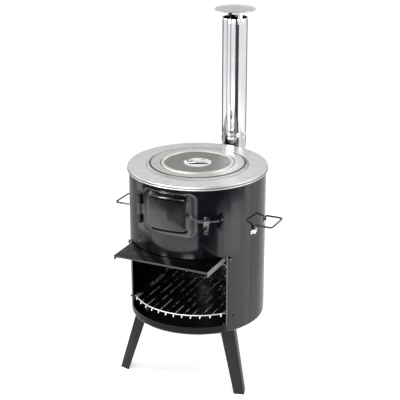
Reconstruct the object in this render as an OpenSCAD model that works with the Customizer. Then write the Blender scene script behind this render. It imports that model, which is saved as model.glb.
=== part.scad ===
// Camping chimney stove: an enamelled drum on three splayed legs, with a fire door,
// a lower compartment with a flap, a cooking top with ring and lid, and a flue behind.
// Z is up, the front faces -Y, and the ground is Z = 0. Angles round the drum are
// counted from the front, positive towards +X.

/* [Drum] */
// Outside diameter of the drum
drum_d = 360; // [340:5:380]
// Height of the drum's wall
drum_h = 409; // [400:1:430]
// Thickness of the drum's sheet
drum_t = 1; // [0.8:0.1:1.5]
// Height of the drum's lower edge above the ground
ground_gap = 178; // [140:2:200]
// Outside radius of the rounded lower edge
base_round = 5; // [4:0.5:7]
// Width of the lip turned in under the bottom pan
base_lip = 8; // [6:1:12]

/* [Lower compartment] */
// Width of the lower opening, straight across
mouth_w = 272; // [260:2:276]
// Height of the lower opening
mouth_h = 193; // [180:1:196]
// Height of the band below the lower opening
mouth_sill = 22; // [18:1:30]
// Radius of the lower opening's corners
mouth_round = 4; // [2:1:10]
// Height of the bottom pan's rim
pan_rim = 12; // [8:1:14]

/* [Firebox] */
// Space between the lower opening and the firebox floor
floor_lift = 5; // [5:1:10]
// Height of the firebox floor's rim
floor_rim = 12; // [8:1:20]
// Radius of the fire grate
grate_r = 91; // [70:1:110]
// Thickness of the fire grate
grate_t = 6; // [5:0.5:8]
// Width of a slot in the fire grate
slot_w = 8; // [6:0.5:10]
// Distance between the grate's slots
slot_pitch = 18; // [16:1:24]
// Width of the ledge that carries the grate
grate_ledge = 11; // [8:1:14]

/* [Fire door] */
// Width of the door's flange, straight across
door_w = 152; // [140:1:156]
// Height of the door's flange
door_h = 115; // [108:1:120]
// Corner radius of the door's flange
door_round = 18; // [12:1:22]
// Height of the door's centre above the drum's lower edge
door_rise = 334; // [330:1:336]
// Thickness of the door's sheet
door_t = 1.2; // [1:0.1:1.5]
// Width of the pressed panel
panel_w = 108; // [104:1:110]
// Height of the pressed panel
panel_h = 92; // [88:1:94]
// Corner radius of the pressed panel
panel_round = 9; // [6:1:12]
// Height of the pressed panel above the flange
panel_rise = 6; // [4:0.5:8]
// Width that the flange laps over the drum beside the door hole
door_lap = 25; // [22:1:28]

/* [Hinge] */
// Distance from the drum's surface to the pin's centre
hinge_out = 6.5; // [6.2:0.1:8]
// Distance from the flange's edge to the pin's centre, round the drum
hinge_gap = 11; // [10:0.5:14]
// Radius of the hinge pin
pin_r = 2.5; // [2:0.1:3]
// Outside radius of a knuckle
knuckle_r = 4.5; // [4:0.1:5]
// Height of an outer knuckle
knuckle_h = 22; // [18:1:26]
// Height of the door's own knuckle
mid_knuckle_h = 28; // [20:1:36]
// Width of the hinge leaf on the drum
leaf_w = 20; // [18:1:26]
// Height of the hinge leaf
leaf_h = 86; // [78:1:92]
// Distance from the door's centre down to the hinge's centre
hinge_drop = 7; // [0:1:10]

/* [Latch] */
// Angle round the drum from the lever's pivot to its end
lever_sweep = 26; // [24:1:28]
// Width of the lever's strip
lever_w = 8; // [6:0.5:9]
// Thickness of the lever's strip
lever_t = 2; // [1.5:0.1:2.5]
// Space between the door's flange and the lever
lever_stand = 7; // [7:0.5:9]
// Height of the lever's pivot above the door's lower edge
lever_rise = 55; // [50:1:60]
// Angle from the lever's pivot to the keeper
keeper_angle = 11.2; // [11:0.1:13]
// Width of the keeper
keeper_w = 14; // [10:1:16]
// Length of the keeper's foot on the drum
keeper_foot = 36; // [30:1:40]
// Height of the keeper's hook above the lever's lower edge
hook_h = 17; // [12:1:18]
// Width of the hanging grip
grip_w = 12; // [9:1:14]
// Length of the hanging grip
grip_l = 34; // [26:1:40]
// Thickness of the hanging grip
grip_t = 3; // [2:0.5:4]

/* [Flap] */
// Gap between the flap and each side of the mouth
flap_side_gap = 4; // [4:0.5:10]
// Depth of the flap in front of its pivots
flap_d = 113; // [90:1:116]
// Thickness of the flap's sheet
flap_t = 1.2; // [1:0.1:1.5]
// Depth of the flap's side flanges
flap_flange = 13; // [10:0.5:14]
// Depth of the flap's front lip
flap_lip = 5; // [4:0.5:8]
// Radius of the flap's pivot screws
screw_r = 2.5; // [2:0.1:3]
// Radius of a pivot screw's head
screw_head_r = 5.5; // [5:0.1:6]

/* [Grill rack] */
// Gap between the rack's hoop and the inside of the drum
rack_gap = 7; // [5:1:13]
// Gap between the rack's straight sides and the sides of the mouth
rack_side_gap = 9; // [8:1:18]
// Height of the rack above the drum's lower edge
rack_rise = 53; // [48:1:60]
// Diameter of the hoop's wire
hoop_d = 4.5; // [4:0.1:5]
// Diameter of the cross wires
wire_d = 3; // [2.5:0.1:3.5]
// Distance between the cross wires
wire_pitch = 22.4; // [16:0.4:28]
// Length of a wire's end past the hoop
wire_end = 3; // [2:0.5:3]
// Depth of a rack bracket, along the rack's side
bracket_d = 22; // [16:1:30]
// Thickness of the rack's brackets
bracket_t = 1.5; // [1:0.1:2]
// Distance of the brackets from the drum's middle, front to back
bracket_y = 100; // [90:1:104]

/* [Legs] */
// Distance from the drum's middle to a leg's corner at the ground
foot_r = 214; // [200:1:225]
// Distance from the drum's wall in to a leg's corner at the top
leg_inset = 16; // [15:1:25]
// Width of a leg's side at the ground
leg_foot_w = 26; // [22:1:30]
// Width of a leg's side at the top
leg_top_w = 38; // [32:1:42]
// Thickness of a leg's sheet
leg_t = 1.5; // [1.2:0.1:2]
// Radius of the legs' bolts
bolt_r = 2.5; // [2:0.1:3]

/* [Handles] */
// Distance between a handle's arms
handle_w = 76; // [66:1:90]
// Distance from the drum's middle to the handle's bar
handle_reach = 227; // [218:1:240]
// Height of the handles above the drum's lower edge
handle_rise = 280; // [260:1:300]
// Diameter of the handle's wire
handle_d = 5; // [4:0.5:6]
// Radius of the handle's bends
handle_bend = 8; // [6:0.5:12]
// Length of the handle's feet down the drum
handle_foot = 24; // [20:1:30]
// Width of a handle clip
clip_w = 28; // [26:1:34]
// Height of a handle clip
clip_h = 10; // [8:1:12]

/* [Cooking top] */
// Overhang of the top plate beyond the drum's wall
plate_overhang = 5; // [4:0.5:8]
// Depth of the top plate's rim
plate_rim = 10; // [8:0.5:12]
// Radius of the rolled bead under the rim
rim_bead = 2; // [1.5:0.1:2]
// Radius where the plate starts to rise to the ring
collar_foot_r = 134; // [132:0.5:138]
// Radius of the raised collar round the ring
collar_r = 127; // [126:0.5:128]
// Height of the raised collar
collar_h = 5; // [4:0.5:6]
// Space between the collar and the ring
ring_gap = 3; // [2:0.5:3.5]
// Width of the ledge under the ring
ring_ledge = 14; // [10:1:16]
// Radius of the hole for the lid in the ring
ring_hole_r = 98; // [96:0.5:100]
// Depth of the ring
ring_h = 4; // [4:0.5:5]
// Width of the ledge under the lid
lid_ledge = 12; // [10:1:13]
// Space between the ring and the lid
lid_gap = 1.5; // [1:0.1:2]
// Radius of the bead round the lid
lid_bead = 5; // [4:0.5:6]
// Radius of the dish in the lid
dish_r = 37; // [32:1:42]
// Depth of the dish in the lid
dish_h = 12; // [11:1:14]
// Width of the lift bar
bar_w = 9; // [7:0.5:12]
// Angle of the lift bar from the stove's width
bar_turn = 24; // [0:1:45]

/* [Flue] */
// Outside radius of the flue
flue_r = 34; // [33:0.5:35]
// Thickness of the flue's sheet
flue_t = 1; // [0.8:0.1:1.2]
// Distance from the drum's wall back to the upright flue's middle
flue_stand = 60; // [56:1:66]
// Distance from the drum's upper edge down to the flue's middle
flue_drop = 59; // [57:1:64]
// Radius of the elbow's bend
elbow_bend = 44; // [42:0.5:46]
// Straight height of the elbow above its bend
elbow_neck = 30; // [26:1:34]
// Length of the elbow's spigot inside the pipe
spigot_l = 25; // [20:1:35]
// Length of the chimney pipe
pipe_l = 329; // [280:1:360]
// Radius of the collar's flange
flange_r = 45; // [43:0.5:45]

/* [Rain cap] */
// Radius of the rain cap
cap_r = 55; // [48:1:60]
// Height of the cap's cone
cap_h = 8; // [6:0.5:14]
// Space between the pipe's mouth and the cap's brim
cap_gap = 23; // [18:1:30]
// Width of a cap strap
strap_w = 12; // [9:0.5:14]
// Length of the strap on the pipe
strap_foot = 14; // [12:1:20]
// Angle of the first cap strap round the pipe
strap_angle = 45; // [0:5:90]

/* [Hidden] */
$fn = 96;

// Clearances and small sizes shared by several pieces
seat_gap = 0.3;
pin_gap = 0.05;
rivet_r = 1.6;
rivet_head_r = 3.2;
rivet_head_h = 1.4;
tail_h = 1;
overrun = 2;
round_fn = 48;

// Drum
drum_r = drum_d / 2;
drum_in_r = drum_r - drum_t;
drum_z = ground_gap;
drum_top_z = drum_z + drum_h;
long_cut = drum_d;

// Lower compartment
mouth_z = drum_z + mouth_sill + mouth_h / 2;
mouth_top_z = drum_z + mouth_sill + mouth_h;
pan_t = 1;
pan_z = drum_z + drum_t;
pan_r = drum_in_r - seat_gap;

// Firebox floor and grate
floor_t = 1;
floor_z = mouth_top_z + floor_lift;
floor_r = drum_in_r - seat_gap;
well_r = grate_r + seat_gap;
well_h = grate_t + seat_gap;

// Fire door
door_in_r = drum_r + seat_gap;
door_out_r = door_in_r + door_t;
door_z = drum_z + door_rise;
hole_w = door_w - 2 * door_lap;
hole_h = panel_h - (panel_w - hole_w);
panel_out_r = door_out_r + panel_rise;
edge_angle = asin(door_w / 2 / door_in_r);

// Hinge
hinge_r = drum_r + hinge_out;
hinge_angle = -edge_angle - hinge_gap / drum_r * 180 / PI;
knuckle_gap = 0.5;
leaf_t = 1.2;
hinge_h = mid_knuckle_h + 2 * knuckle_h + 2 * knuckle_gap;
pin_cap_h = 1.5;
pin_tail = 8;
leaf_out_r = drum_r + seat_gap + leaf_t;
leaf_turn = leaf_w / drum_r * 180 / PI;
strap_lap = 10;
strap_trim = 1;
strap_turn = (hinge_gap + strap_lap) / drum_r * 180 / PI;
seat_turn = seat_gap / drum_r * 180 / PI;
hinge_z = door_z - hinge_drop;
leaf_rivet_turn_share = 0.68;
leaf_rivet_height_share = 0.36;
leaf_root_w = 4;

// Latch
pivot_inset = 14;
pivot_angle = edge_angle - pivot_inset / drum_r * 180 / PI;
pivot_z = door_z - door_h / 2 + lever_rise;
lever_in_r = door_out_r + lever_stand;
lever_drop = 10;
eye_margin = 1.5;
lever_eye_r = lever_w / 2 + eye_margin;
lever_z = pivot_z - lever_drop;
keeper_at = pivot_angle + keeper_angle;
keeper_t = 1.5;
keeper_shelf_z = lever_z - lever_w / 2 - seat_gap;
hook_gap = 1.2;
hook_in_r = lever_in_r + lever_t + hook_gap;
keeper_rivet_shares = [0.36, 0.74];
grip_inset = 3;
grip_rise = 3;
grip_z = lever_z + grip_rise;
grip_at = pivot_angle + lever_sweep - grip_inset;
latch_pin_r = 2.5;
latch_head_r = 4.5;
latch_head_h = 2;

// Flap
flap_w = mouth_w - 2 * flap_side_gap;
flap_half_w = flap_w / 2;
pivot_back = 4.4;
pivot_y = -sqrt(drum_in_r * drum_in_r - mouth_w * mouth_w / 4) + pivot_back;
flap_clear = 2;
flap_top_z = mouth_top_z - flap_clear;
flap_pivot_z = flap_top_z - flap_flange / 2;
flap_trim = 0.5;
flap_tail = flap_flange / 2 - flap_trim;
flap_nut_r = 4.5;
screw_head_h = 2.5;
screw_head_x = sqrt(drum_r * drum_r - pow(abs(pivot_y) - screw_head_r, 2)) + seat_gap;

// Rack
rack_z = drum_z + rack_rise;
weld_sink = 0.8;
corner_ball = hoop_d + weld_sink;
wire_z = rack_z - (hoop_d + wire_d) / 2 + weld_sink;
rack_r = drum_in_r - rack_gap;
rack_half_w = mouth_w / 2 - rack_side_gap;
hoop_angle = asin(rack_half_w / rack_r);
hoop_y = rack_r * cos(hoop_angle);
bracket_bite = 1.5;
wire_clear = bracket_bite + wire_d / 2 + seat_gap;
wires_a_side = floor((rack_half_w - wire_pitch / 2 - wire_clear) / wire_pitch) + 1;
bracket_top_z = rack_z - hoop_d / 2 - seat_gap;
bracket_drop = 16;
bracket_in_x = rack_half_w - bracket_bite;

// Legs
leg_angles = [-60, 60, 180];
leg_z = pan_z;
leg_top_r = drum_r - leg_inset;
leg_splay = atan((foot_r - leg_top_r) / leg_z);
leg_len = leg_z / cos(leg_splay);
tab_d = 38;
tab_w = 44;
bolt_back = 27;
bolt_side = 10;
bolt_end = 1;
bolt_head_r = 4.5;
bolt_head_h = 2.5;
nut_r = 4.6;
nut_h = 3.5;

// Handles
handle_z = drum_z + handle_rise;
handle_wire_r = handle_d / 2;
handle_arm_y = handle_w / 2;
handle_wall_x = sqrt(drum_r * drum_r - handle_arm_y * handle_arm_y);
handle_angle = asin(handle_arm_y / drum_r);
foot_bend = handle_d;
handle_foot_x = handle_wall_x + (handle_wire_r + seat_gap) / cos(handle_angle);
foot_wire_at = sqrt(handle_foot_x * handle_foot_x + handle_arm_y * handle_arm_y);
clip_angle = atan(handle_arm_y / handle_foot_x);
clip_t = 1.2;
clip_lift = 2;
clip_z = handle_z - handle_foot + clip_h / 2 + clip_lift;
clip_rivet_share = 0.36;

// Cooking top
plate_t = 1;
plate_r = drum_r + plate_overhang;
plate_z = drum_top_z + plate_t;
ledge_z = 1;
ring_r = collar_r - ring_gap;
ring_t = 1.2;
ring_z = plate_z + ledge_z + seat_gap;
lid_r = ring_hole_r - lid_gap;
lid_t = 1.2;
lid_z = ring_z + ring_t + seat_gap;
dish_round = (dish_r * dish_r + dish_h * dish_h) / (2 * dish_h);
bar_t = 2;
bar_arch = 3.5;
bar_drop = 2;
bar_end_z = lid_z + lid_t - bar_drop;
bar_depth = dish_round - dish_h + bar_drop + bar_t;
bar_half = sqrt(pow(dish_round, 2) - pow(bar_depth, 2) - bar_w * bar_w / 4) - seat_gap;
bar_round = (bar_half * bar_half + bar_arch * bar_arch) / (2 * bar_arch);

// Flue
flue_in_r = flue_r - flue_t;
flue_z = drum_top_z - flue_drop;
spigot_r = flue_in_r - seat_gap;
flue_y = drum_r + flue_stand;
elbow_y = flue_y - elbow_bend;
elbow_clear = 4;
elbow_start_y = drum_r + elbow_clear;
collar_inside = 12;
collar_in_y = drum_r - collar_inside;
collar_short = 1;
collar_end_y = elbow_y - collar_short;
flue_clear = 1;
pipe_z = flue_z + elbow_bend + elbow_neck;
pipe_top_z = pipe_z + pipe_l;
collar_rivet_r = (flange_r + flue_r) / 2;

// Rain cap
cap_t = 1;
cap_z = pipe_top_z + cap_gap;
cap_slope = atan(cap_h / cap_r);
strap_t = 1.2;
strap_in_r = flue_r + seat_gap;
strap_tab = 18;
strap_top_z = cap_z - cap_t + cap_h * (1 - strap_in_r / cap_r) - seat_gap;
strap_rivet_z = pipe_top_z - strap_foot / 2;
cap_rivet_at = strap_in_r - strap_tab / 2;

// The origin lies on the ground under the middle of the stove's length
front_y = pivot_y - flap_d;
back_y = flue_y + cap_r;
middle_y = (front_y + back_y) / 2;

// Colours
enamel = [0.09, 0.09, 0.10];
charcoal = [0.25, 0.25, 0.27];
zinc = [0.80, 0.82, 0.81];
warm_zinc = [0.74, 0.73, 0.70];
lid_grey = [0.52, 0.51, 0.49];
chrome = [0.82, 0.82, 0.84];
polished = [0.88, 0.88, 0.90];
cap_grey = [0.72, 0.70, 0.68];
iron = [0.16, 0.16, 0.16];
grip_black = [0.04, 0.04, 0.04];

// Moves the drum's frame so that the origin is under the middle of the whole stove
module on_ground() {
    translate([0, -middle_y, 0]) children();
}

// Puts a shape on the drum: its X runs round to the right, its Y up, its Z outwards
module on_drum(angle, z, r) {
    rotate([0, 0, angle]) translate([0, -r, z]) rotate([90, 0, 0]) children();
}

// Rectangle with round corners, centred
module round_rect(w, h, r) {
    square([w - 2 * r, h], center = true);
    square([w, h - 2 * r], center = true);
    for (x = [-1, 1], y = [-1, 1])
        translate([x * (w / 2 - r), y * (h / 2 - r)]) circle(r = r, $fn = round_fn);
}

// Block through the drum's front, with the outline of a rounded rectangle
module front_block(w, h, r, z) {
    translate([0, 0, z]) rotate([90, 0, 0]) linear_extrude(long_cut) round_rect(w, h, r);
}

// Tube between two radii round the drum's axis
module ring_wall(r_in, r_out, z, h) {
    translate([0, 0, z]) difference() {
        cylinder(h = h, r = r_out, $fn = 180);
        translate([0, 0, -overrun]) cylinder(h = h + 2 * overrun, r = r_in, $fn = 180);
    }
}

// Curved sheet patch on the drum's front, with the outline of a rounded rectangle
module front_patch(r_in, r_out, w, h, r, z) {
    intersection() {
        ring_wall(r_in, r_out, z - h, 2 * h);
        front_block(w, h, r, z);
    }
}

// Curved strip of sheet between two angles round the drum
module drum_strip(r_in, r_out, from_angle, to_angle, z, h) {
    translate([0, 0, z]) rotate([0, 0, from_angle - 90])
        rotate_extrude(angle = to_angle - from_angle, $fn = 180)
            translate([r_in, 0]) square([r_out - r_in, h]);
}

// Rivet with a domed head on the face at Z = 0 and a flat tail behind the sheets
module rivet(grip) {
    dome_r = (rivet_head_r * rivet_head_r + rivet_head_h * rivet_head_h) / (2 * rivet_head_h);
    intersection() {
        translate([0, 0, rivet_head_h - dome_r]) sphere(r = dome_r, $fn = round_fn);
        cylinder(h = rivet_head_h + overrun, r = rivet_head_r, $fn = round_fn);
    }
    translate([0, 0, -grip - seat_gap]) cylinder(h = grip + seat_gap, r = rivet_r, $fn = 24);
    translate([0, 0, -grip - seat_gap - tail_h]) cylinder(h = tail_h, r = rivet_head_r, $fn = 24);
}

// Hole for a rivet, through the sheets below Z = 0
module rivet_hole(depth) {
    translate([0, 0, -depth]) cylinder(h = depth + overrun, r = rivet_r + pin_gap, $fn = 24);
}

// Places of the rivets on the drum
module at_hinge_rivets(r) {
    for (side = [-1, 1])
        on_drum(hinge_angle - leaf_turn * leaf_rivet_turn_share,
            hinge_z + side * leaf_h * leaf_rivet_height_share, r) children();
}

module at_keeper_rivets(r) {
    for (share = keeper_rivet_shares)
        on_drum(keeper_at, keeper_shelf_z - keeper_foot * share, r) children();
}

module at_collar_rivets(r) {
    for (x = [-1, 1], z = [-1, 1])
        on_drum(180 + x * asin(collar_rivet_r * sin(45) / drum_r),
            flue_z + z * collar_rivet_r * sin(45), r) children();
}

module at_clip_rivets(r) {
    for (side = [-90, 90], arm = [-1, 1], wing = [-1, 1])
        on_drum(side + arm * clip_angle, clip_z, r) translate([wing * clip_w * clip_rivet_share, 0, 0])
            children();
}

module at_bracket_rivets() {
    for (x = [-1, 1], y = [-1, 1])
        translate([x * bracket_wall_x(), y * bracket_y, bracket_top_z - bracket_drop / 2])
            rotate([0, x * 90, 0]) children();
}

// Sheet drum with a rounded lower edge, open at the top
module body_shell() {
    color(enamel) difference() {
        translate([0, 0, drum_z]) rotate_extrude($fn = 180) {
            translate([drum_in_r, base_round]) square([drum_t, drum_h - base_round]);
            translate([drum_r - base_round, base_round]) intersection() {
                difference() {
                    circle(r = base_round, $fn = round_fn);
                    circle(r = base_round - drum_t, $fn = round_fn);
                }
                translate([0, -base_round]) square(base_round);
            }
            translate([drum_r - base_round - base_lip, 0]) square([base_lip, drum_t]);
        }
        front_block(mouth_w, mouth_h, mouth_round, mouth_z);
        front_block(hole_w, hole_h, panel_round, door_z);
        translate([0, 0, flue_z]) rotate([-90, 0, 0])
            cylinder(h = long_cut, r = spigot_r + flue_clear);
        at_hinge_rivets(drum_r) rivet_hole(drum_t + overrun);
        at_keeper_rivets(drum_r) rivet_hole(drum_t + overrun);
        at_collar_rivets(drum_r) rivet_hole(drum_t + overrun);
        at_clip_rivets(drum_r) rivet_hole(drum_t + overrun);
        for (side = [-1, 1])
            translate([side * drum_r / 2, pivot_y, flap_pivot_z]) rotate([0, side * 90, 0])
                cylinder(h = drum_r, r = screw_r + pin_gap, $fn = 32);
        at_bracket_rivets() translate([0, 0, -overrun])
            cylinder(h = long_cut, r = rivet_r + pin_gap, $fn = 24);
    }
}

// Round tray on the drum's turned-in lip
module bottom_pan() {
    color(enamel) difference() {
        translate([0, 0, pan_z]) rotate_extrude($fn = 180) {
            square([drum_r - base_round, pan_t]);
            translate([drum_r - base_round, base_round - drum_t]) intersection() {
                difference() {
                    circle(r = pan_r - drum_r + base_round, $fn = round_fn);
                    circle(r = pan_r - drum_r + base_round - pan_t, $fn = round_fn);
                }
                translate([0, -base_round]) square(base_round);
            }
            translate([pan_r - pan_t, base_round - drum_t]) square([pan_t, pan_rim]);
        }
        at_leg_bolts() translate([0, 0, -leg_t - overrun])
            cylinder(h = leg_t + pan_t + 2 * overrun, r = bolt_r + pin_gap, $fn = 24);
    }
}

module at_leg_bolts() {
    for (angle = leg_angles, side = [-1, 1])
        rotate([0, 0, angle]) translate([side * bolt_side, -leg_top_r + bolt_back, pan_z])
            children();
}

// The right side of a leg's angle section: a tapered sheet from the corner line inwards
module leg_side() {
    rotate([0, 0, 45]) rotate([-90, 0, 0]) linear_extrude(leg_t)
        polygon([[0, 0], [leg_top_w, 0], [leg_foot_w, leg_len + leg_top_w], [0, leg_len + leg_top_w]]);
}

// Folded leg with its corner outwards, a tab under the pan and a flat-cut foot
module leg(angle) {
    color(charcoal) rotate([0, 0, angle]) difference() {
        union() {
            intersection() {
                translate([0, -leg_top_r, leg_z]) rotate([-leg_splay, 0, 0])
                    translate([0, 0, leg_top_w / 2]) {
                        leg_side();
                        mirror([1, 0, 0]) leg_side();
                    }
                translate([-long_cut / 2, -foot_r - leg_top_w, 0])
                    cube([long_cut, foot_r + leg_top_w, leg_z]);
            }
            translate([0, -leg_top_r, leg_z - leg_t]) linear_extrude(leg_t)
                polygon([
                    [0, 0],
                    [tab_w / 2, tab_w / 2],
                    [tab_w / 2, tab_d],
                    [-tab_w / 2, tab_d],
                    [-tab_w / 2, tab_w / 2]
                ]);
        }
        for (side = [-1, 1])
            translate([side * bolt_side, -leg_top_r + bolt_back, leg_z - leg_t - overrun])
                cylinder(h = leg_t + 2 * overrun, r = bolt_r + pin_gap, $fn = 24);
    }
}

module leg_left() {
    leg(leg_angles[0]);
}

module leg_right() {
    leg(leg_angles[1]);
}

module leg_rear() {
    leg(leg_angles[2]);
}

// Round-headed bolts from the pan down through the legs' tabs
module leg_bolts() {
    color(chrome) at_leg_bolts() {
        translate([0, 0, pan_t]) cylinder(h = bolt_head_h, r = bolt_head_r, $fn = 32);
        translate([0, 0, -leg_t - nut_h - bolt_end])
            cylinder(h = leg_t + nut_h + bolt_end + pan_t, r = bolt_r, $fn = 24);
    }
}

// Hexagon nuts under the legs' tabs
module leg_nuts() {
    color(chrome) at_leg_bolts() translate([0, 0, -leg_t - nut_h]) difference() {
        cylinder(h = nut_h, r = nut_r, $fn = 6);
        translate([0, 0, -overrun]) cylinder(h = nut_h + 2 * overrun, r = bolt_r + pin_gap, $fn = 24);
    }
}

// Floor of the firebox, with a well that holds the grate
module firebox_floor() {
    color(enamel) translate([0, 0, floor_z]) rotate_extrude($fn = 180) {
        translate([well_r, 0]) square([floor_r - well_r, floor_t]);
        translate([floor_r - floor_t, 0]) square([floor_t, floor_rim]);
        translate([well_r, -well_h]) square([floor_t, well_h + floor_t]);
        translate([well_r - grate_ledge, -well_h - floor_t])
            square([grate_ledge + floor_t, floor_t]);
    }
}

// Round cast grate with a row of slots
module fire_grate() {
    slots = floor((grate_r - grate_ledge - slot_w) / slot_pitch);
    color(iron) translate([0, 0, floor_z - well_h + seat_gap]) difference() {
        cylinder(h = grate_t, r = grate_r - seat_gap);
        for (i = [-slots : slots]) {
            reach = sqrt(pow(grate_r - grate_ledge - slot_w / 2, 2) - pow(i * slot_pitch, 2));
            translate([i * slot_pitch, 0, -overrun]) linear_extrude(grate_t + 2 * overrun) {
                square([slot_w, 2 * reach], center = true);
                for (end = [-1, 1])
                    translate([0, end * reach]) circle(d = slot_w, $fn = 32);
            }
        }
    }
}

// Zinc-coated top with a beaded rim, a raised collar and a ledge for the ring
module top_plate() {
    color(zinc) translate([0, 0, plate_z]) rotate_extrude($fn = 180) {
        translate([collar_foot_r, -plate_t]) square([plate_r - collar_foot_r, plate_t]);
        translate([plate_r - plate_t, -plate_rim]) square([plate_t, plate_rim]);
        translate([plate_r - rim_bead, -plate_rim]) circle(r = rim_bead, $fn = round_fn);
        polygon([
            [collar_foot_r, -plate_t], [collar_foot_r, 0],
            [collar_r, collar_h], [collar_r - plate_t, collar_h], [collar_r - plate_t, collar_h - plate_t]
        ]);
        translate([collar_r - plate_t, ledge_z - plate_t]) square([plate_t, collar_h - ledge_z + plate_t]);
        translate([collar_r - ring_ledge, ledge_z - plate_t]) square([ring_ledge, plate_t]);
    }
}

// Cooking ring with turned edges and a ledge for the lid
module cooking_ring() {
    color(warm_zinc) translate([0, 0, ring_z]) rotate_extrude($fn = 180) {
        translate([ring_hole_r, ring_h - ring_t]) square([ring_r - ring_hole_r, ring_t]);
        translate([ring_r - ring_t, 0]) square([ring_t, ring_h]);
        translate([ring_hole_r, 0]) square([ring_t, ring_h]);
        translate([ring_hole_r - lid_ledge, 0]) square([lid_ledge + ring_t, ring_t]);
    }
}

// Lid with a half-round bead and a dish for the lift bar
module lid() {
    bead_x = lid_r - lid_bead;
    color(lid_grey) translate([0, 0, lid_z]) rotate_extrude($fn = 180) {
        translate([dish_r, 0]) square([bead_x - lid_bead - dish_r + lid_t, lid_t]);
        translate([bead_x, 0]) intersection() {
            difference() {
                circle(r = lid_bead, $fn = round_fn);
                circle(r = lid_bead - lid_t, $fn = round_fn);
            }
            translate([-lid_bead, 0]) square([2 * lid_bead, lid_bead]);
        }
        translate([0, lid_t + dish_round - dish_h]) intersection() {
            difference() {
                circle(r = dish_round + lid_t, $fn = 180);
                circle(r = dish_round, $fn = 180);
            }
            translate([0, -dish_round - lid_t]) square([dish_r + lid_t / 2, dish_h + lid_t]);
        }
    }
}

// Arched strip across the lid's dish
module lift_bar() {
    color(chrome) rotate([0, 0, bar_turn]) translate([0, bar_w / 2, bar_end_z + bar_arch - bar_round])
        rotate([90, 0, 0]) linear_extrude(bar_w) intersection() {
            difference() {
                circle(r = bar_round, $fn = 180);
                circle(r = bar_round - bar_t, $fn = 180);
            }
            translate([-bar_half, bar_round - bar_arch - bar_t]) square([2 * bar_half, bar_arch + bar_t]);
        }
}

// Curved fire door: flange, pressed panel, and its own knuckle on a strap
module fire_door() {
    color(enamel) difference() {
        union() {
            front_patch(door_in_r, door_out_r, door_w, door_h, door_round, door_z);
            front_patch(door_out_r - door_t / 2, panel_out_r, panel_w, panel_h, panel_round, door_z);
            drum_strip(door_out_r - door_t / 2, door_out_r + door_t, hinge_angle + seat_turn,
                hinge_angle + strap_turn, hinge_z - mid_knuckle_h / 2 + strap_trim,
                mid_knuckle_h - 2 * strap_trim);
            knuckle(hinge_z - mid_knuckle_h / 2, mid_knuckle_h);
        }
        front_patch(door_in_r - overrun, panel_out_r - door_t, panel_w - 2 * door_t,
            panel_h - 2 * door_t, panel_round - door_t, door_z);
        hinge_bore(pin_r + pin_gap);
        on_drum(pivot_angle, pivot_z, door_in_r - overrun)
            cylinder(h = door_t + 2 * overrun, r = latch_pin_r + pin_gap, $fn = 32);
    }
}

module knuckle(z, h) {
    rotate([0, 0, hinge_angle]) translate([0, -hinge_r, z]) cylinder(h = h, r = knuckle_r, $fn = round_fn);
}

module hinge_bore(r) {
    rotate([0, 0, hinge_angle]) translate([0, -hinge_r, hinge_z - hinge_h])
        cylinder(h = 2 * hinge_h, r = r, $fn = round_fn);
}

// Hinge leaf on the drum, with an upper and a lower knuckle
module hinge_leaf() {
    color(enamel) difference() {
        union() {
            drum_strip(drum_r + seat_gap, leaf_out_r, hinge_angle - leaf_turn, hinge_angle,
                hinge_z - leaf_h / 2, leaf_h);
            for (side = [-1, 1]) {
                z = hinge_z + side * (mid_knuckle_h / 2 + knuckle_gap + knuckle_h / 2) - knuckle_h / 2;
                knuckle(z, knuckle_h);
                on_drum(hinge_angle, z, leaf_out_r - leaf_t / 2) translate([-leaf_root_w, 0, 0])
                    cube([leaf_root_w - seat_gap, knuckle_h, hinge_out - knuckle_r / 2]);
            }
        }
        hinge_bore(pin_r + pin_gap);
        at_hinge_rivets(leaf_out_r) rivet_hole(leaf_t + seat_gap + overrun);
    }
}

module hinge_rivets() {
    color(charcoal) at_hinge_rivets(leaf_out_r) rivet(leaf_t + seat_gap + drum_t);
}

// Hinge pin with a button at the top and a bent tail at the bottom
module hinge_pin() {
    color(charcoal) rotate([0, 0, hinge_angle]) translate([0, -hinge_r, hinge_z]) {
        translate([0, 0, -hinge_h / 2 - pin_r]) cylinder(h = hinge_h + pin_r, r = pin_r, $fn = 32);
        translate([0, 0, hinge_h / 2]) cylinder(h = pin_cap_h, r = knuckle_r, $fn = 32);
        translate([0, 0, -hinge_h / 2 - pin_r]) sphere(r = pin_r, $fn = 32);
        translate([0, 0, -hinge_h / 2 - pin_r]) rotate([0, -90, 0])
            cylinder(h = pin_tail, r = pin_r, $fn = 32);
    }
}

// Lever strip bowed round the drum from its eye to its raised end
module latch_lever() {
    color(charcoal) difference() {
        union() {
            on_drum(pivot_angle, pivot_z, lever_in_r - lever_t)
                cylinder(h = 2 * lever_t, r = lever_eye_r, $fn = round_fn);
            intersection() {
                ring_wall(lever_in_r, lever_in_r + lever_t, lever_z - long_cut / 4, long_cut / 2);
                on_drum(pivot_angle, pivot_z, 0) linear_extrude(long_cut) lever_outline();
            }
        }
        on_drum(pivot_angle, pivot_z, 0)
            cylinder(h = long_cut, r = latch_pin_r + pin_gap, $fn = 32);
        grip_hole();
    }
}

// The lever's outline, seen from outside, drawn from its pivot
module lever_outline() {
    reach = lever_in_r * sin(lever_sweep);
    rest = lever_in_r * sin(keeper_angle);
    end_rise = lever_w;
    polygon([
        [0, lever_w / 2], [rest / 2, lever_w / 2 - lever_drop],
        [rest + keeper_w, lever_w / 2 - lever_drop],
        [reach - grip_w, lever_w / 2 - lever_drop + end_rise / 4],
        [reach, lever_w / 2 - lever_drop + end_rise],
        [reach, -lever_w / 2 - lever_drop + end_rise],
        [reach - grip_w, -lever_w / 2 - lever_drop],
        [rest / 2, -lever_w / 2 - lever_drop], [0, -lever_w / 2]
    ]);
}

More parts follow.
